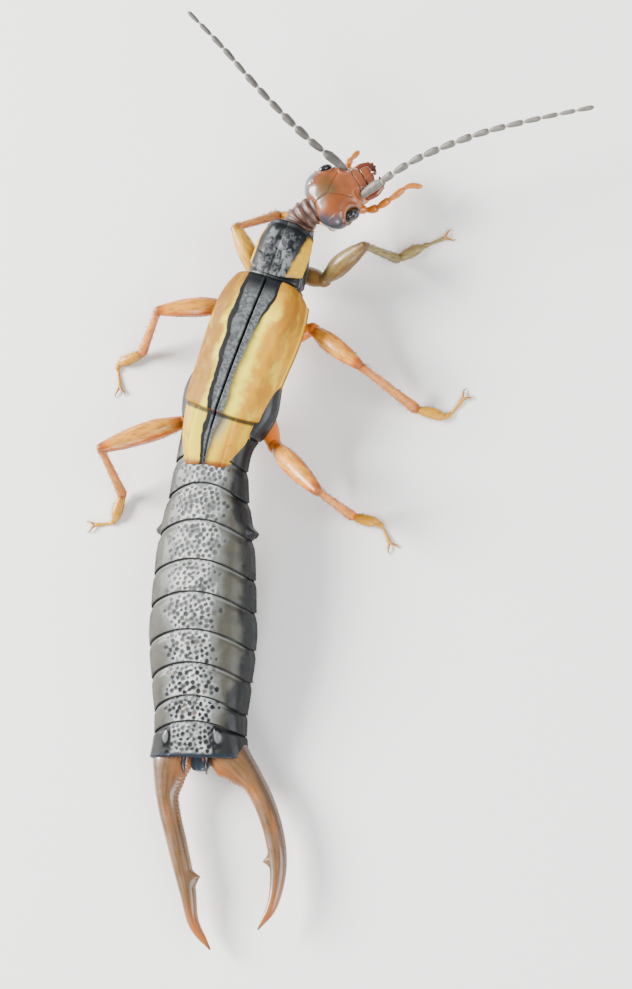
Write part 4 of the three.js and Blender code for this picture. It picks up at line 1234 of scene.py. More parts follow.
def case_finish(side):
    case = CASE_LOOKS[side]
    look = Finish(f"wing case cuticle {side}", case["base"], roughness=0.5, grain=16, relief=0.16,
                  specular=0.12)
    along, arc, beyond = look.lie()
    patch = look.mark("place", "Vector")
    streaks = look.noise(1.5, 0.4, 0.62, look.stretched(1.8, 0.45, 1, patch))
    light = look.noise(1.0, 0.5, 0.8, look.stretched(2.2, 0.4, 1, patch))
    look.coat("case_brown", case["brown"], streaks, look.stripe(arc, 1.3, 2.5, 0.2))
    look.coat("case_brown", 0.6, look.under(along, 3.4, 5.6), look.stripe(arc, 1.2, 2.5, 0.25))
    look.coat("stripe", 0.5, look.stripe(arc, 1.2, 2.5, 0.3), light)
    ragged = look.wavy(beyond, 0.35, 1.3)
    look.coat("stripe", 0.9, look.stripe(ragged, -0.1, case["pale"], 0.22), look.above(along, 2.9, 4.2))
    look.coat("stripe", case["rim"], look.stripe(arc, 2.42, 2.58))
    look.coat("case_brown", 0.9, look.above(arc, case["edge"], 2.68))
    look.coat("case_brown", 0.5, look.under(along, 2.75, 3.0))
    band_coats(look, case)
    look.coat(("case_brown", 0.5), 0.8, look.above(past_split(look), -0.1, -0.02))
    return look.done()


def tip_finish(side):
    """The left wing tip is yellow, the right ochre with a grey shade by its band."""
    case = CASE_LOOKS[side]
    look = Finish(f"wing tip cuticle {side}", "ochre", roughness=0.5, grain=18, relief=0.18, specular=0.14)
    along, arc, beyond = look.lie()
    reach, strength = case["tip_yellow"]
    look.coat("wing_yellow", strength, look.stripe(beyond, -0.2, reach, 0.25))
    look.coat("wing_yellow", 0.5, look.noise(1.6, 0.4, 0.6), look.stripe(arc, 1.6, 2.7, 0.1))
    look.coat("case_brown", 0.45, look.noise(2.2, 0.5, 0.65), look.stripe(arc, 1.2, 2.4, 0.2))
    look.coat("mottle", case["tip_grey"], look.stripe(beyond, -0.2, 0.3, 0.3), look.under(along, 8.8, 9.9))
    look.coat("wing_rust", 0.9, look.above(along, 10.15, 10.4))
    band_coats(look, case)
    look.coat("case_brown", 0.8, look.above(arc, 2.62, 2.7))
    look.coat("black", 0.9, look.under(past_split(look), 0.08, 0.18))
    return look.done()


def case_front(share):
    return WING["shoulder"] + 0.6 * share ** 3


def tip_front(share):
    return case_end(share) - 0.35


def tip_end(share):
    return WING["end"] - 0.75 * share ** 3 - 0.12 * (1 - share) ** 4


def make_wings():
    thickness = bpy.context.scene.earwig_sizes.case_thickness / MM
    for name in SIDES:
        case = arch_plate(name, case_front, case_end, 5.8, 0.0, thickness, case_relief)
        piece_of(f"wing_case_{name}", [case], case_finish(name), [f"tegmen_{name}"])
        tip = arch_plate(name, tip_front, tip_end, 2.5, 0.1, thickness * 0.8, tip_relief)
        piece_of(f"wing_tip_{name}", [tip], tip_finish(name), [f"wing_{name}"])


# Head

SKULL_WIDE = through((0, 0.5), (0.12, 0.86), (0.4, 1.2), (0.8, 1.32), (1.3, 1.24), (1.75, 1.02),
                     (2.1, 0.76), (2.45, 0.52))
SKULL_TOP = through((0, 0.32), (0.4, 0.56), (1, 0.68), (1.6, 0.6), (2.1, 0.42), (2.45, 0.28))
SKULL_BOTTOM = through((0, 0.3), (0.4, 0.5), (1, 0.56), (1.8, 0.48), (2.45, 0.26))


def distance_to(x, y, start, end):
    """How far points are from a straight stretch of line."""
    run = np.subtract(end, start)
    t = np.clip(((x - start[0]) * run[0] + (y - start[1]) * run[1]) / (run @ run), 0, 1)
    return np.hypot(x - start[0] - t * run[0], y - start[1] - t * run[1])


def skull_shell():
    """The head capsule with its forked crease, eye rims, feeler sockets and dents."""
    rows, turn = 170, full_turn(200)
    forward = HEAD["length"] * (1 - np.cos(np.pi * np.linspace(0, 1, rows)))[:, None] / 2
    right, up = oval(turn, SKULL_WIDE(forward), SKULL_TOP(forward), SKULL_BOTTOM(forward), 0.9)
    notch = 0.14 * bump(right, 0, 0.45) * (1 - smooth(forward, 0, 0.5)) * (up > -0.2)
    grid = face(forward + notch, right, up)
    above, aside = smooth(up, 0.02, 0.12), np.abs(right)
    stem = distance_to(forward, right, (0.15, 0), (0.95, 0))
    arms = distance_to(forward, aside, (0.95, 0), (1.7, 0.62))
    crease = np.maximum(bump(stem, 0, 0.022), 0.8 * bump(arms, 0, 0.022)) * above
    lip_line = bump(forward, 2.18 - 0.15 * right ** 2, 0.025) * above
    orbit = np.hypot((forward - EYE["along"]) / EYE["size"][0], (up - EYE["up"]) / EYE["size"][2])
    ridge = (0.05 * bump(orbit, 1.22, 0.13) - 0.08 * (1 - smooth(orbit, 0.8, 1.05))) * (aside > 0.7)
    base = np.hypot(forward - SOCKET["along"], aside - SOCKET["out"])
    socket = 0.05 * (bump(base, 0.27, 0.05) - bump(base, 0, 0.17)) * above
    frown = -0.05 * bump(forward, 1.85, 0.22) * bump(right, 0, 0.3) * above
    domes = 0.035 * bump(aside, 0.55, 0.3) * bump(forward, 0.75, 0.4) * above
    cheek = 0.04 * bump(forward, 0.75, 0.3) * (aside > 0.9)
    throat = -0.05 * bump(aside, 0.42, 0.05) * (up < -0.2)
    lift = ridge + socket + frown + domes + cheek + throat - 0.028 * crease - 0.03 * lip_line
    grid = grid + outward(grid, True) * lift[..., None]
    return skin(grid, lie=together(forward, right, up), crease=np.maximum(crease, lip_line), orbit=orbit,
                hairy=0.25 * smooth(forward, 0.6, 1.4) * (orbit > 1.3) + 0.05)


def head_finish():
    """Orange-brown with a pinkish front, an olive patch, grey-blue cheeks and dark creases."""
    look = Finish("head cuticle", "crown", roughness=0.32, coat=0.45, grain=20, relief=0.14)
    forward, right, up = look.lie()
    out, orbit = look.maths("ABSOLUTE", right), look.mark("orbit")
    look.coat(("crown", 0.7), 0.45, look.noise(1.3, 0.4, 0.65))
    look.coat("face", 0.75, look.above(look.wavy(forward, 0.3, 1.5), 1.35, 1.9))
    patch = look.times(look.stripe(forward, 0.35, 1.35, 0.2), look.stripe(right, -0.75, 0.2, 0.18))
    look.coat("crown_shade", 0.85, patch, look.above(up, 0.1, 0.4), look.noise(1.6, 0.28, 0.6))
    rear = look.times(look.under(forward, 0.7, 1.15), look.under(up, 0.38, 0.6))
    look.coat("cheek", 1, rear, look.above(out, 0.35, 0.65), look.noise(1.4, 0.2, 0.42))
    look.coat(("crown", 0.45), 0.7, look.under(forward, 0.05, 0.2))
    look.coat(("crown", 0.6), 0.5, look.under(up, -0.35, -0.15))
    side = look.above(out, 0.7, 0.8)
    look.coat(("crown_shade", 0.5), 0.9, side, look.stripe(orbit, 0.8, 1.12, 0.06))
    look.coat(("crown", 0.8), 0.6, side, look.stripe(orbit, 1.15, 1.35, 0.06))
    look.coat(("crown", 0.25), 0.75, look.mark("crease"))
    return look.done()


def make_head():
    skull = skull_shell()
    piece_of("head_capsule", [skull], head_finish(), ["head"])
    bristles_on("head_bristles", [skull], density=3e7, lean=1.0, seed=21, length=0.7, thickness=0.8)


def make_eyes():
    """Egg-shaped eyes of many facets, sunk in their sockets."""
    material = plain_finish("eye facets", "eye", [(("eye", 2.6), 3.0, 0.5, 0.7, 0.35)], roughness=0.16,
                            coat=0.8, grain=10, relief=0.02).done()
    along, out, up = EYE["size"]
    seed, tree = bpy.data.meshes.new("eye_seed"), facets_tree()
    for name, side in SIDES.items():
        mesh = grown(f"eye_facets_{name}", tree, seed, Detail=bpy.context.scene.earwig_sizes.eye_detail,
                     Material=material)
        middle = (face(EYE["along"], side * EYE["out"], EYE["up"]) + SHIFT) * MM
        axes = np.column_stack([FACE_AHEAD * along, FACE_RIGHT * out * side, FACE_UP * up]) * MM * 0.97
        mesh.transform(Matrix.Translation(Vector(middle)) @ Matrix(axes.tolist()).to_4x4())
        if side > 0:
            mesh.flip_normals()
        finish_piece(f"eye_facets_{name}", mesh, material, [f"eye_{name}"])
        mesh.shade_flat()


# Mouth parts

JAW = {"level": -0.36, "line": ((2.2, 0.6), (2.6, 0.62), (2.9, 0.46), (3.02, 0.14)),
       "teeth": ((0.07, 0.84, 0.035), (0.06, 0.72, 0.035), (0.04, 0.6, 0.03))}
LIP = {"wide": 0.8, "long": 0.36, "thick": 0.16, "rim": 0.07}
PALP_JOINTS = (0.0, 0.22, 0.36, 0.56, 0.78, 1.0)


def make_mouth():
    make_jaws()
    make_lips()
    make_palps()


def jaw_finish():
    """Brown horn that darkens towards the teeth."""
    look = Finish("jaw horn", "jaw", roughness=0.28, coat=0.5, relief=0.08)
    look.coat("jaw_tip", 0.9, look.above(look.lie()[0], 0.62, 0.9))
    look.coat(("jaw", 1.35), 0.4, look.noise(3, 0.45, 0.6))
    return look.done()


def make_jaws():
    horn = jaw_finish()
    wide = through((0, 0.19), (0.4, 0.2), (0.8, 0.13), (1, 0.03))
    high = through((0, 0.13), (0.5, 0.12), (1, 0.04))
    for name, side in SIDES.items():
        line = line_through([face(s, side * out, JAW["level"]) for s, out in JAW["line"]], 60)

        def teeth(t, turn, side=side):
            inner = np.clip(side * np.cos(turn), 0, 1) ** 2
            return inner * sum(size * bump(t, at, width) for size, at, width in JAW["teeth"])

        jaw = tube_skin(line, wide, high, sides=32, rows=90, swell=teeth)
        piece_of(f"jaw_{name}", [jaw], horn, [f"mandible_{name}"])


def lip_finish():
    """Brown horn with a pinkish middle and a dark end."""
    look = Finish("lip horn", "jaw", roughness=0.3, coat=0.4, relief=0.1)
    along = look.lie()[0]
    look.coat("face", 0.6, look.stripe(along, 0.1, 0.7, 0.15))
    look.coat(("jaw", 0.6), 0.6, look.above(along, 0.8, 0.95))
    return look.done()


def upper_lip():
    u, forward, fullness = plate_grid(30, LIP["wide"], 18, LIP["long"], LIP["rim"])
    across = 2 * u - 1
    length = LIP["long"] + 0.08 - 0.1 * across ** 2 - 0.05 * bump(across, 0, 0.15)
    rise = 0.24 - 0.08 * (forward + 0.6 * across ** 2) + 0.02 * bump(across, 0.4, 0.2)
    outer = face(HEAD["length"] + 0.02 + forward * length, across * LIP["wide"] / 2, rise)
    return plate(outer, LIP["thick"], fullness, lie=together(forward, across, 0))


def lower_lip():
    """A pad below the jaws, and its two small feelers."""
    points = face_line(0, (1.3, 0, -0.4), (1.75, 0, -0.7), (2.2, 0, -0.76), (2.72, 0, -0.7))
    shells = [tube_skin(line_through(points, 30), through((0, 0.32), (0.6, 0.3), (1, 0.18)),
                        through((0, 0.12), (1, 0.09)), sides=32, rows=40, power=0.75)]
    girth = through((0, 0.07), (0.3, 0.09), (0.34, 0.06), (0.62, 0.085), (0.66, 0.055), (0.9, 0.075),
                    (1, 0.03))
    for side in SIDES.values():
        points = face_line(side, (2.45, 0.2, -0.74), (2.75, 0.36, -0.8), (2.98, 0.3, -0.86))
        shells.append(tube_skin(line_through(points, 40), girth, girth, sides=16, rows=50))
    return shells


def make_lips():
    horn = lip_finish()
    piece_of("upper_lip", [upper_lip()], horn, ["labrum"])
    piece_of("lower_lip", lower_lip(), horn, ["labium"])


def palp_girth(t):
    """Each joint of a palp swells towards its far end, and the whole palp tapers."""
    t = np.asarray(t, float)
    joints = np.array(PALP_JOINTS)
    i = np.clip(np.searchsorted(joints, t, side="right") - 1, 0, len(joints) - 2)
    part = (t - joints[i]) / (joints[i + 1] - joints[i])
    return lerp(0.2, 0.115, t) * (0.62 + 0.38 * smooth(part, 0, 0.55) - 0.34 * smooth(part, 0.88, 1.0))


def palp_finish():
    """Orange-yellow, paler on top, brown in places and dark at the joints."""
    look = Finish("palp cuticle", "palp", roughness=0.34, coat=0.3, relief=0.08)
    look.coat(("palp", 1.35), 0.5, look.above(look.lie()[2], 0.2, 0.8), look.noise(2, 0.4, 0.6))
    look.coat(("palp", 0.45), 0.6, look.above(look.mark("waist"), 0.3, 0.9))
    look.coat("leg_brown", 0.4, look.noise(2.5, 0.52, 0.68))
    return look.done()


def make_palps():
    """The long jointed palps beside the jaws, and the stems of the inner mouth parts."""
    material = palp_finish()
    stem_wide = through((0, 0.2), (0.5, 0.2), (0.8, 0.12), (1, 0.03))
    stem_high = through((0, 0.14), (0.5, 0.12), (1, 0.03))
    for name, side in SIDES.items():
        cheek = face_line(side, (1.35, 0.6, -0.36), (1.74, 0.8, -0.72), (2.1, 1.0, -0.8))
        line = line_through([*cheek, *PALPS[name]], 160)
        grid, lie = tube(line, palp_girth, palp_girth, sides=28, rows=220)
        gap = np.min([np.abs(lie[..., 0] - joint) for joint in PALP_JOINTS[1:-1]], axis=0)
        stem = face_line(side, (1.2, 0.46, -0.34), (1.9, 0.52, -0.58), (2.4, 0.46, -0.6),
                         (2.72, 0.24, -0.56))
        stem_grid, stem_lie = tube(line_through(stem, 60), stem_wide, stem_high, sides=24, rows=60)
        shells = [skin(grid, lie=lie, waist=bump(gap, 0, 0.012)), skin(stem_grid, lie=stem_lie, waist=0)]
        piece_of(f"palp_skin_{name}", shells, material, [f"palp_{name}"])


# Feelers

# Painted light and shade: the left feeler's beads are painted darker and the right's lighter, as two copies
# of one material.
FEELER_PAINTED_LIGHT = {"left": 0.72, "right": 1.15}


def bead_finish(name):
    # The bead colour and its clouds are made darker or lighter for the side, as painted light and shade.
    light = FEELER_PAINTED_LIGHT[name]
    coats = [(("bead", light * 0.62), 3.5, 0.45, 0.62, 0.6), (("bead", light * 1.3), 2.2, 0.52, 0.68, 0.4)]
    return plain_finish(f"bead cuticle {name}", ("bead", light), coats, roughness=0.5, grain=24,
                        relief=0.15).done()


def bead_dots(chain, count):
    """A point for each bead of a feeler, marked with its direction and size."""
    sizes = bpy.context.scene.earwig_sizes
    length = np.linalg.norm(np.diff(chain, axis=0), axis=1).sum() / count
    share = (np.arange(count) + 0.5) / count
    at = np.round(share * (len(chain) - 1)).astype(int)
    half = lerp(sizes.bead_thickness, sizes.bead_tip, share) / MM * RNG.uniform(0.9, 1.08, count)
    half[0] *= 0.9
    long = length * 0.5 * RNG.uniform(0.93, 1.0, count)
    dots = bpy.data.meshes.new("bead_dots")
    dots.from_pydata(((chain[at] + SHIFT) * MM).tolist(), [], [])
    write_mark(dots, "lay", unit(np.gradient(chain, axis=0))[at])
    write_mark(dots, "size", together(half, half, long) * MM)
    return dots


def make_feelers():
    """Feelers: a long first piece, then beads on a thin pale core."""
    materials = {name: bead_finish(name) for name in SIDES}
    pale_skin = plain_finish("bead joint skin", "bead_joint", [("bead", 4, 0.4, 0.6, 0.4)], roughness=0.5,
                             relief=0.1).done()
    sizes, tree = bpy.context.scene.earwig_sizes, beads_tree()
    counts = {"left": sizes.left_beads, "right": sizes.right_beads}
    club = through((0, 0.1), (0.12, 0.15), (0.3, 0.17), (0.85, 0.2), (1, 0.15))
    thin = through((0, 0.085), (0.9, 0.05), (1, 0.03))
    for name, side in SIDES.items():
        material, first = materials[name], np.array(FEELERS[name][0])
        socket = face(SOCKET["along"], side * SOCKET["out"], SOCKET["up"])
        joint = lerp(socket, first, SOCKET["stalk"])
        middle = lerp(socket, joint, 0.5) + (0, 0, SOCKET["bow"])
        line = line_through([socket - FACE_AHEAD * 0.05, middle, joint], 50)
        stalk = tube_skin(line, club, club, sides=32, rows=60)
        piece_of(f"feeler_stalk_{name}", [stalk], material, [f"antenna_{name}_scape"])
        chain = line_through([joint + unit(first - joint) * 0.12, *FEELERS[name]], 400)
        beads = grown(f"feeler_beads_{name}", tree, bead_dots(chain, counts[name]), Fineness=22,
                      Material=material)
        finish_piece(f"feeler_beads_{name}", beads, material, [f"antenna_{name}_flagellum"])
        core = tube_skin(line_through([joint, *FEELERS[name]], 200), thin, thin, sides=12, rows=150)
        piece_of(f"feeler_core_{name}", [core], pale_skin)


# Forceps

BLADE_WIDE = through((0, 0.7), (0.05, 0.8), (0.14, 0.6), (0.24, 0.44), (0.45, 0.4), (0.64, 0.36),
                     (0.8, 0.25), (0.92, 0.17), (1, 0.04))
BLADE_HIGH = through((0, 0.5), (0.2, 0.4), (0.6, 0.31), (0.85, 0.21), (1, 0.04))
TOOTH_AT = 0.64


def blade_shell(name):
    """One blade, with its small inner teeth near the root, its one great tooth and its outer keel."""
    side = SIDES[name]
    points = [np.append(spot(s, right, 0)[:2], z) for s, right, z in BLADES[name]]
    points.insert(0, np.append(spot(21.75, side * 1.05, 0)[:2], 1.15))

    def swell(t, turn):
        inner, outer = (np.clip(way * side * np.cos(turn), 0, 1) for way in (1, -1))
        flange = 0.1 * (1 - smooth(t, 0.16, 0.24)) * inner ** 3
        toothed = smooth(t, 0.04, 0.08) * (1 - smooth(t, 0.3, 0.42))
        teeth = 0.035 * np.abs(np.sin(t * 150)) * toothed * inner ** 10
        tooth = 0.3 * np.clip(1 - np.abs(t - TOOTH_AT) / 0.045, 0, 1) ** 1.4 * inner ** 4
        keel = 0.03 * outer ** 3 * smooth(t, 0.02, 0.2) * (1 - smooth(t, 0.8, 1))
        return flange + teeth + tooth + keel

    grid, lie = tube(line_through(points, 300), BLADE_WIDE, BLADE_HIGH, sides=72, rows=330, power=0.92,
                     swell=swell)
    return skin(grid, lie=lie * (1, side, 1), hairy=0.35 * (1 - smooth(lie[..., 0], 0.1, 0.5)))


def blade_finish():
    """Streaky umber with an orange glow at the root and the tip, and a grey-brown outer edge."""
    look = Finish("forceps horn", "blade", roughness=0.32, coat=0.55, grain=14, relief=0.1)
    along, inner, up = look.lie()
    look.coat(("blade", 0.5), 0.75, look.streaks((along, inner, up), 3.0))
    look.coat("blade_glow", 0.3, look.streaks((along, up, inner), 2.4, 0.52, 0.68))
    look.coat("blade_glow", 0.35, look.above(inner, 0.1, 0.8), look.under(along, 0.05, 0.22))
    clouds = look.noise(0.9, 0.42, 0.62, look.stretched(1.2, 0.5, 1))
    look.coat("blade_glow", 0.25, clouds, look.stripe(along, 0.2, 0.5, 0.08))
    look.coat("blade_glow", 0.45, look.above(along, 0.66, 0.95))
    look.coat("blade_edge", 0.8, look.under(inner, -0.8, -0.5), look.under(along, 0.5, 0.8))
    look.coat(("blade", 0.35), 0.6, look.above(along, 0.96, 1.0))
    look.coat(("blade", 0.3), 0.8, look.under(along, 0.0, 0.03))
    return look.done()


def make_forceps():
    material = blade_finish()
    blades = {name: blade_shell(name) for name in SIDES}
    for name, blade in blades.items():
        piece_of(f"forceps_blade_{name}", [blade], material, [f"forceps_{name}"])
    bristles_on("forceps_bristles", list(blades.values()), density=1.2e7, lean=0.8, seed=31)


# Legs

SHIN = through((0, 0.15), (0.05, 0.19), (0.12, 0.16), (0.4, 0.17), (0.8, 0.2), (0.96, 0.22), (1, 0.17))
# Where each of the three joints of a foot starts and ends, and how thick it is
FOOT_JOINTS = ((0.0, 0.52, through((0, 0.11), (0.2, 0.19), (0.6, 0.235), (0.85, 0.2), (1, 0.12))),
               (0.5, 0.66, through((0, 0.07), (0.5, 0.12), (1, 0.08))),
               (0.64, 1.0, through((0, 0.055), (0.6, 0.075), (0.9, 0.09), (1, 0.06))))
LEG_PARTS = ("coxa", "femur", "tibia", "tarsus")


def reach_to(start, heading, length, height):
    """The far end of a piece that starts at a point and ends at a height."""
    flat = math.sqrt(max(0.01, length ** 2 - (height - start[2]) ** 2))
    end = start + ahead(heading) * flat
    end[2] = height
    return end


def leg_joints(name):
    """Where a leg bends, from hip to toe."""
    pair_name, side_name = name.split("_")
    pair, stance = LEGS[pair_name], STANCE[name]
    station, out, up = pair["hip"]
    hip = spot(station, SIDES[side_name] * out, up)
    rise = pair["coxa"] * math.sin(math.radians(COXA_RISE))
    root = reach_to(hip, stance["coxa"], pair["coxa"], hip[2] + rise)
    knee = reach_to(root, stance["femur"], pair["femur"], stance["knee"])
    ankle = reach_to(knee, stance["tibia"], pair["tibia"], 0.3)
    bend = reach_to(ankle, stance["foot"][0], pair["tarsus"] * FIRST_TARSUS, 0.2)
    toe = reach_to(bend, stance["foot"][1], pair["tarsus"] * (1 - FIRST_TARSUS), 0.1)
    return hip, root, knee, ankle, bend, toe


def thigh_keels(t, turn):
    strength = 0.035 * smooth(t, 0.12, 0.3) * (1 - smooth(t, 0.75, 0.92))
    return strength * (bump(np.sin(turn), 0.42, 0.14) + bump(np.sin(turn), -0.42, 0.14) - 0.5)


def thinner(girth, share):
    """A girth curve made thinner."""
    return lambda t: girth(t) * share


def leg_shells(name):
    """The closed pieces of one leg, each set into the one before. The mark says which piece it is."""
    thick = LEGS[name.split("_")[0]]["thick"]
    hip, root, knee, ankle, bend, toe = leg_joints(name)
    coxa = through((0, thick * 0.85), (0.55, thick * 0.86), (0.85, thick * 0.7), (1, thick * 0.62))
    ring = through((0, thick * 0.55), (0.5, thick * 0.66), (1, thick * 0.56))
    femur = through((0, thick * 0.5), (0.1, thick * 0.68), (0.35, thick * 0.94), (0.65, thick * 0.86),
                    (0.86, thick * 0.66), (0.94, thick * 0.56), (1, thick * 0.46))
    bow = lerp(root, knee, 0.5) + (0, 0, 0.12)
    lines = [line_through(points, 120) for points in (
        [hip, lerp(hip, root, 0.5), root], [lerp(hip, root, 0.9), root, lerp(root, knee, 0.09)],
        [lerp(root, knee, 0.05), bow, knee], [knee, lerp(knee, ankle, 0.5), ankle])]
    shells = [tube_skin(lines[0], coxa, coxa, 0, sides=36, rows=40),
              tube_skin(lines[1], ring, ring, 0.5, sides=32, rows=26),
              tube_skin(lines[2], femur, thinner(femur, 0.9), 1, sides=56, rows=110, swell=thigh_keels),
              tube_skin(lines[3], SHIN, thinner(SHIN, 0.92), 2, sides=36, rows=90)]
    foot = line_through([ankle, lerp(ankle, bend, 0.55), bend, toe], 300)
    for start, end, girth in FOOT_JOINTS:
        part = foot[round(start * 299):round(end * 299) + 1].copy()
        sole = np.maximum(girth(np.linspace(0, 1, len(part))) * 0.9, 0.02)
        part[:, 2] = lerp(part[:, 2], sole, smooth(np.linspace(start, end, len(part)), 0.15, 0.5))
        shells.append(tube_skin(part, girth, thinner(girth, 0.9), 3, sides=28, rows=50))
    return shells + spur_shells(name, knee, ankle)


def spur_shells(name, knee, ankle):
    """The two spurs at the far end of a shin."""
    way, taper = unit(ankle - knee), through((0, 0.035), (1, 0.006))
    shells = []
    for spread in (-1, 1):
        root = lerp(knee, ankle, 0.95) + np.cross(way, (0, 0, 1)) * spread * 0.14
        tip = root + way * 0.3 + ahead(STANCE[name]["foot"][0]) * 0.05
        spur = line_through([root, root + way * 0.15, tip], 20)
        spur[:, 2] = np.maximum(spur[:, 2], 0.05)
        shells.append(tube_skin(spur, taper, taper, 2, sides=10, rows=12))
    return shells


def claw_shells(name):
    *_, bend, toe = leg_joints(name)
    way = unit((toe - bend) * (1, 1, 0))
    taper = through((0, 0.06), (0.4, 0.052), (1, 0.008))
    shells = []
    for spread in (-1, 1):
        out = np.cross(way, (0, 0, 1)) * spread
        points = np.array([toe - way * 0.06, toe + way * 0.1 + out * 0.09, toe + way * 0.27 + out * 0.22,
                           toe + way * 0.4 + out * 0.22])
        points[:, 2] = (0.08, 0.12, 0.09, 0.015)
        shells.append(tube_skin(line_through(points, 40), taper, taper, sides=14, rows=30))
    return shells


def leg_finish(name, thigh, pale, shank, foot, brown):
    """A leg with brown joints, a pale stripe along the top of its thigh and shank that is partly its own
    colour and partly painted highlight, more painted highlight on top of its shank, and painted shade along
    its underside. Its parts are told apart by their mark.
    """
    look = Finish(name, thigh, roughness=0.38, coat=0.18, grain=16, relief=0.1, specular=0.35)
    along, across, up = look.lie()
    part = look.mark("mark")
    shanks, long_pieces = look.stripe(part, 1.8, 2.2), look.stripe(part, 0.8, 2.2)
    wavy = look.wavy(up, 0.3, 2.0)
    lines = look.streaks((along, across, up), 4.5)
    look.coat(shank, 1, look.above(part, 1.4, 1.6))
    look.coat(foot, 0.85, look.above(part, 2.4, 2.6))
    # Painted highlight, partly the leg's own pale colour: a pale stripe along the top of thigh and shank.
    highlight_streak = look.times(look.stripe(wavy, 0.75, 1.3, 0.12), look.stripe(along, 0.14, 0.88, 0.08))
    look.coat(pale, 1, long_pieces, highlight_streak, look.fade(part, 1.2, 1.8, 0.6, 0.3))
    look.coat(brown, 0.4, lines, long_pieces)
    # Painted highlight on the top of the shank.
    look.coat(pale, 0.12, look.away(lines), shanks, look.above(up, 0.5, 1.0))
    # Painted shade: brown along the underside of thigh, shank and foot.
    look.coat(brown, 0.6, look.above(part, 0.8, 1.0), look.under(wavy, 0.15, 0.6))
    look.coat(brown, 0.6, long_pieces, look.above(along, 0.9, 0.98))
    look.coat(brown, 0.7, look.stripe(part, 1.8, 3.4), look.under(along, 0.0, 0.08))
    look.coat(brown, 0.5, look.stripe(part, 0.3, 0.7), look.noise(3, 0.4, 0.6))
    return look.done()


def leg_finishes():
    """The finish of each leg. The two front legs differ from the others and from each other."""
    plain = leg_finish("leg cuticle", "leg", "leg_pale", ("leg", 1.05), "leg_ochre", "leg_brown")
    ochre = leg_finish("ochre leg cuticle", "leg_ochre", "leg_pale", "leg", "leg_pale", "leg_brown")
    # The olive leg's painted highlight is a lighter copy of its olive, and its brown of joints and painted
    # shade a darker umber.
    olive = leg_finish("olive leg cuticle", "leg_umber", ("leg_olive", 1.2), "leg_olive",
                       ("leg_olive", 1.15), ("leg_umber", 0.6))
    return {**dict.fromkeys(STANCE, plain), "front_left": ochre, "front_right": olive}


def claw_finish():
    look = Finish("claw horn", "claw", roughness=0.25, coat=0.4, relief=0.04)
    look.coat(("claw", 0.4), 0.6, look.above(look.lie()[0], 0.6, 1.0))
    return look.done()


def make_legs():
    finishes, claw_horn = leg_finishes(), claw_finish()
    hairy_shells = []
    for name in STANCE:
        shells = leg_shells(name)
        nodes = [f"leg_{name}_{part}" for part in LEG_PARTS]
        piece_of(f"leg_skin_{name}", shells, finishes[name], nodes)
        piece_of(f"claws_{name}", claw_shells(name), claw_horn)
        for one in shells[2:]:
            one["marks"]["hairy"] = np.where(one["marks"]["mark"] > 1.5, 1.0, 0.35)
            hairy_shells.append(one)
    bristles_on("leg_bristles", hairy_shells, density=5.5e7, lean=1.3, seed=41)


# Stage

CAMERA = {"aim": (0, 0, 1.5), "back": (0.3676, -0.1934, 0.9097), "distance": 131.87, "lens": 120}
SKY = {"colour": (0.95, 0.97, 1.0, 1), "strength": 0.47}
FLOOR_REACH = 3.0
LAMPS = (
    {"name": "Window", "at": (-165, 55, 105), "size": 110, "power": 1.6, "colour": (1, 0.99, 0.97)},
    {"name": "Fill", "at": (130, -40, 110), "size": 130, "power": 0.35, "colour": (0.95, 0.97, 1)},
    {"name": "Rim", "at": (10, -150, 90), "size": 60, "power": 0.19, "colour": (1, 1, 1)},
)


def in_scene(place):
    """A place in millimetres in the animal's own frame, as a vector in the scene."""
    return Vector((np.array(place) + SHIFT) * MM)


def make_floor():
    mesh = bpy.data.meshes.new("floor")
    corners = [(x * FLOOR_REACH, y * FLOOR_REACH, 0) for x, y in ((-1, -1), (1, -1), (1, 1), (-1, 1))]
    mesh.from_pydata(corners, [], [(0, 1, 2, 3)])
    floor = add_object("floor", mesh)
    material = bpy.data.materials.new("pale floor")
    material.use_nodes = True
    inputs = material.node_tree.nodes["Principled BSDF"].inputs
    looks = {"Base Color": colour_of("floor"), "Roughness": 0.7, "Specular IOR Level": 0.2}
    for label, value in looks.items():
        inputs[label].default_value = value
    mesh.materials.append(material)


def make_lamps():
    for lamp in LAMPS:
        light = bpy.data.lights.new(lamp["name"], "AREA")
        light.shape = "DISK"
        light.size = lamp["size"] * MM
        light.energy = lamp["power"]
        light.color = lamp["colour"]
        holder = add_object(lamp["name"], light)
        holder.location = in_scene(lamp["at"])
        towards = in_scene(CAMERA["aim"]) - holder.location
        holder.rotation_euler = towards.to_track_quat("-Z", "Y").to_euler()
    world = bpy.data.worlds.new("Studio")
    world.use_nodes = True
    inputs = world.node_tree.nodes["Background"].inputs
    inputs["Color"].default_value, inputs["Strength"].default_value = SKY["colour"], SKY["strength"]
    bpy.context.scene.world = world


def make_camera():
    """A camera at the picture's angle, turned so that the animal's frame stands upright."""
    back = Vector(CAMERA["back"]).normalized()
    up = (Vector((0, 1, 0)) - back * back.y).normalized()
    lens = bpy.data.cameras.new("Camera")
    lens.lens, lens.sensor_width = CAMERA["lens"], 36
    lens.clip_start, lens.clip_end = 0.005, 20
    camera = add_object("Camera", lens)
    turned = Matrix((up.cross(back), up, back)).transposed().to_4x4()
    place = in_scene(CAMERA["aim"]) + back * CAMERA["distance"] * MM
    camera.matrix_world = Matrix.Translation(place) @ turned
    bpy.context.scene.camera = camera


def make_stage():
    """Pale floor, soft lamps and the camera."""
    make_floor()
    make_lamps()
    make_camera()


# Operators, panel and running

class EarwigOperator:
    """What every operator here shares: it builds one group of pieces from the scene's settings."""
    bl_options = {"REGISTER", "UNDO"}

    def execute(self, context):
        self.build()
        return {"FINISHED"}


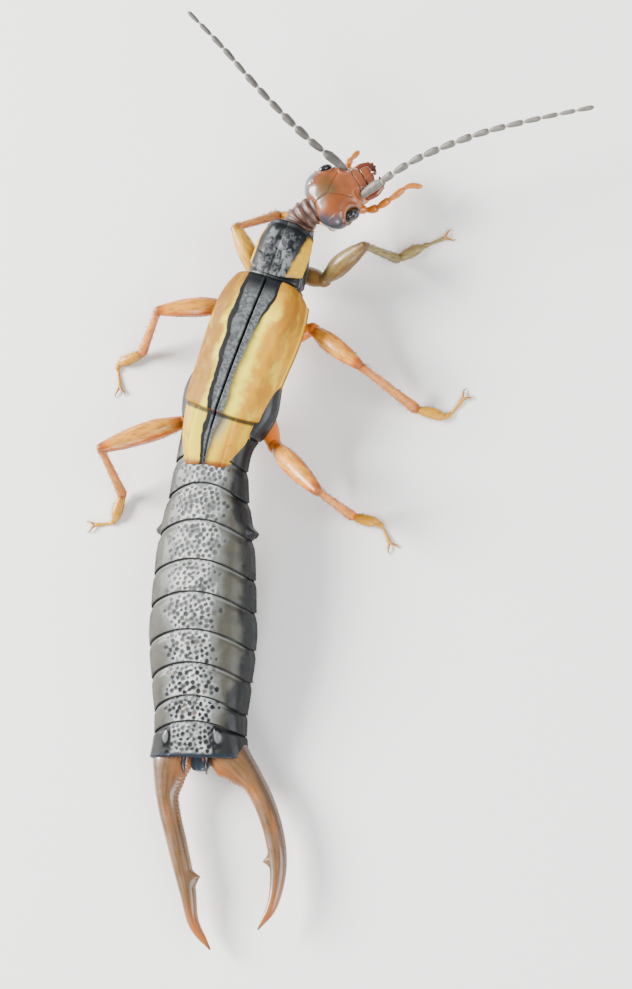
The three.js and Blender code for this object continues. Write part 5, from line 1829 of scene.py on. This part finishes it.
class EARWIG_OT_stage(EarwigOperator, bpy.types.Operator):
    """Add the floor, the lamps and the camera"""
    bl_idname = "earwig.stage"
    bl_label = "Stage"
    build = staticmethod(make_stage)


class EARWIG_OT_thorax(EarwigOperator, bpy.types.Operator):
    """Build the dark skin of the three thorax rings"""
    bl_idname = "earwig.thorax"
    bl_label = "Thorax"
    build = staticmethod(make_thorax)


class EARWIG_OT_neck(EarwigOperator, bpy.types.Operator):
    """Build the folded neck"""
    bl_idname = "earwig.neck"
    bl_label = "Neck"
    build = staticmethod(make_neck)


class EARWIG_OT_shield(EarwigOperator, bpy.types.Operator):
    """Build the shield over the first thorax ring"""
    bl_idname = "earwig.shield"
    bl_label = "Shield"
    build = staticmethod(make_shield)


class EARWIG_OT_wings(EarwigOperator, bpy.types.Operator):
    """Build the wing cases and the folded wing tips"""
    bl_idname = "earwig.wings"
    bl_label = "Wing Cases and Tips"
    build = staticmethod(make_wings)


class EARWIG_OT_belly(EarwigOperator, bpy.types.Operator):
    """Build the ringed, pitted belly, with the plate and the spines at its end"""
    bl_idname = "earwig.belly"
    bl_label = "Belly"
    build = staticmethod(make_belly)


class EARWIG_OT_head(EarwigOperator, bpy.types.Operator):
    """Build the head capsule with its creases and bristles"""
    bl_idname = "earwig.head"
    bl_label = "Head"
    build = staticmethod(make_head)


class EARWIG_OT_eyes(EarwigOperator, bpy.types.Operator):
    """Build both faceted eyes"""
    bl_idname = "earwig.eyes"
    bl_label = "Eyes"
    build = staticmethod(make_eyes)


class EARWIG_OT_mouth(EarwigOperator, bpy.types.Operator):
    """Build the jaws, lips and palps"""
    bl_idname = "earwig.mouth"
    bl_label = "Mouth Parts"
    build = staticmethod(make_mouth)


class EARWIG_OT_feelers(EarwigOperator, bpy.types.Operator):
    """Build both beaded feelers"""
    bl_idname = "earwig.feelers"
    bl_label = "Feelers"
    build = staticmethod(make_feelers)


class EARWIG_OT_forceps(EarwigOperator, bpy.types.Operator):
    """Build both blades of the forceps"""
    bl_idname = "earwig.forceps"
    bl_label = "Forceps"
    build = staticmethod(make_forceps)


class EARWIG_OT_legs(EarwigOperator, bpy.types.Operator):
    """Build the six legs with their claws and bristles"""
    bl_idname = "earwig.legs"
    bl_label = "Legs"
    build = staticmethod(make_legs)


OPERATORS = (EARWIG_OT_stage, EARWIG_OT_thorax, EARWIG_OT_neck, EARWIG_OT_shield, EARWIG_OT_wings,
             EARWIG_OT_belly, EARWIG_OT_head, EARWIG_OT_eyes, EARWIG_OT_mouth, EARWIG_OT_feelers,
             EARWIG_OT_forceps, EARWIG_OT_legs)


class EARWIG_PT_panel(bpy.types.Panel):
    """Lists the pieces of the earwig, with its sizes and colours"""
    bl_idname = "EARWIG_PT_panel"
    bl_label = "Shore Earwig"
    bl_space_type = "VIEW_3D"
    bl_region_type = "UI"
    bl_category = "Earwig"

    def draw(self, context):
        for operator in OPERATORS:
            self.layout.operator(operator.bl_idname)
        for settings in (context.scene.earwig_sizes, context.scene.earwig_colours):
            column = self.layout.box().column()
            for name in settings.__annotations__:
                column.prop(settings, name)


CLASSES = (EarwigSizes, EarwigColours, *OPERATORS, EARWIG_PT_panel)


def register():
    for cls in CLASSES:
        bpy.utils.register_class(cls)
    bpy.types.Scene.earwig_sizes = PointerProperty(type=EarwigSizes)
    bpy.types.Scene.earwig_colours = PointerProperty(type=EarwigColours)


def unregister():
    del bpy.types.Scene.earwig_colours
    del bpy.types.Scene.earwig_sizes
    for cls in reversed(CLASSES):
        bpy.utils.unregister_class(cls)


def main():
    """Builds every piece in order."""
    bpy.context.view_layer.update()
    register()
    for operator in OPERATORS:
        group, name = operator.bl_idname.split(".")
        getattr(getattr(bpy.ops, group), name)()


if __name__ == "__main__":
    main()
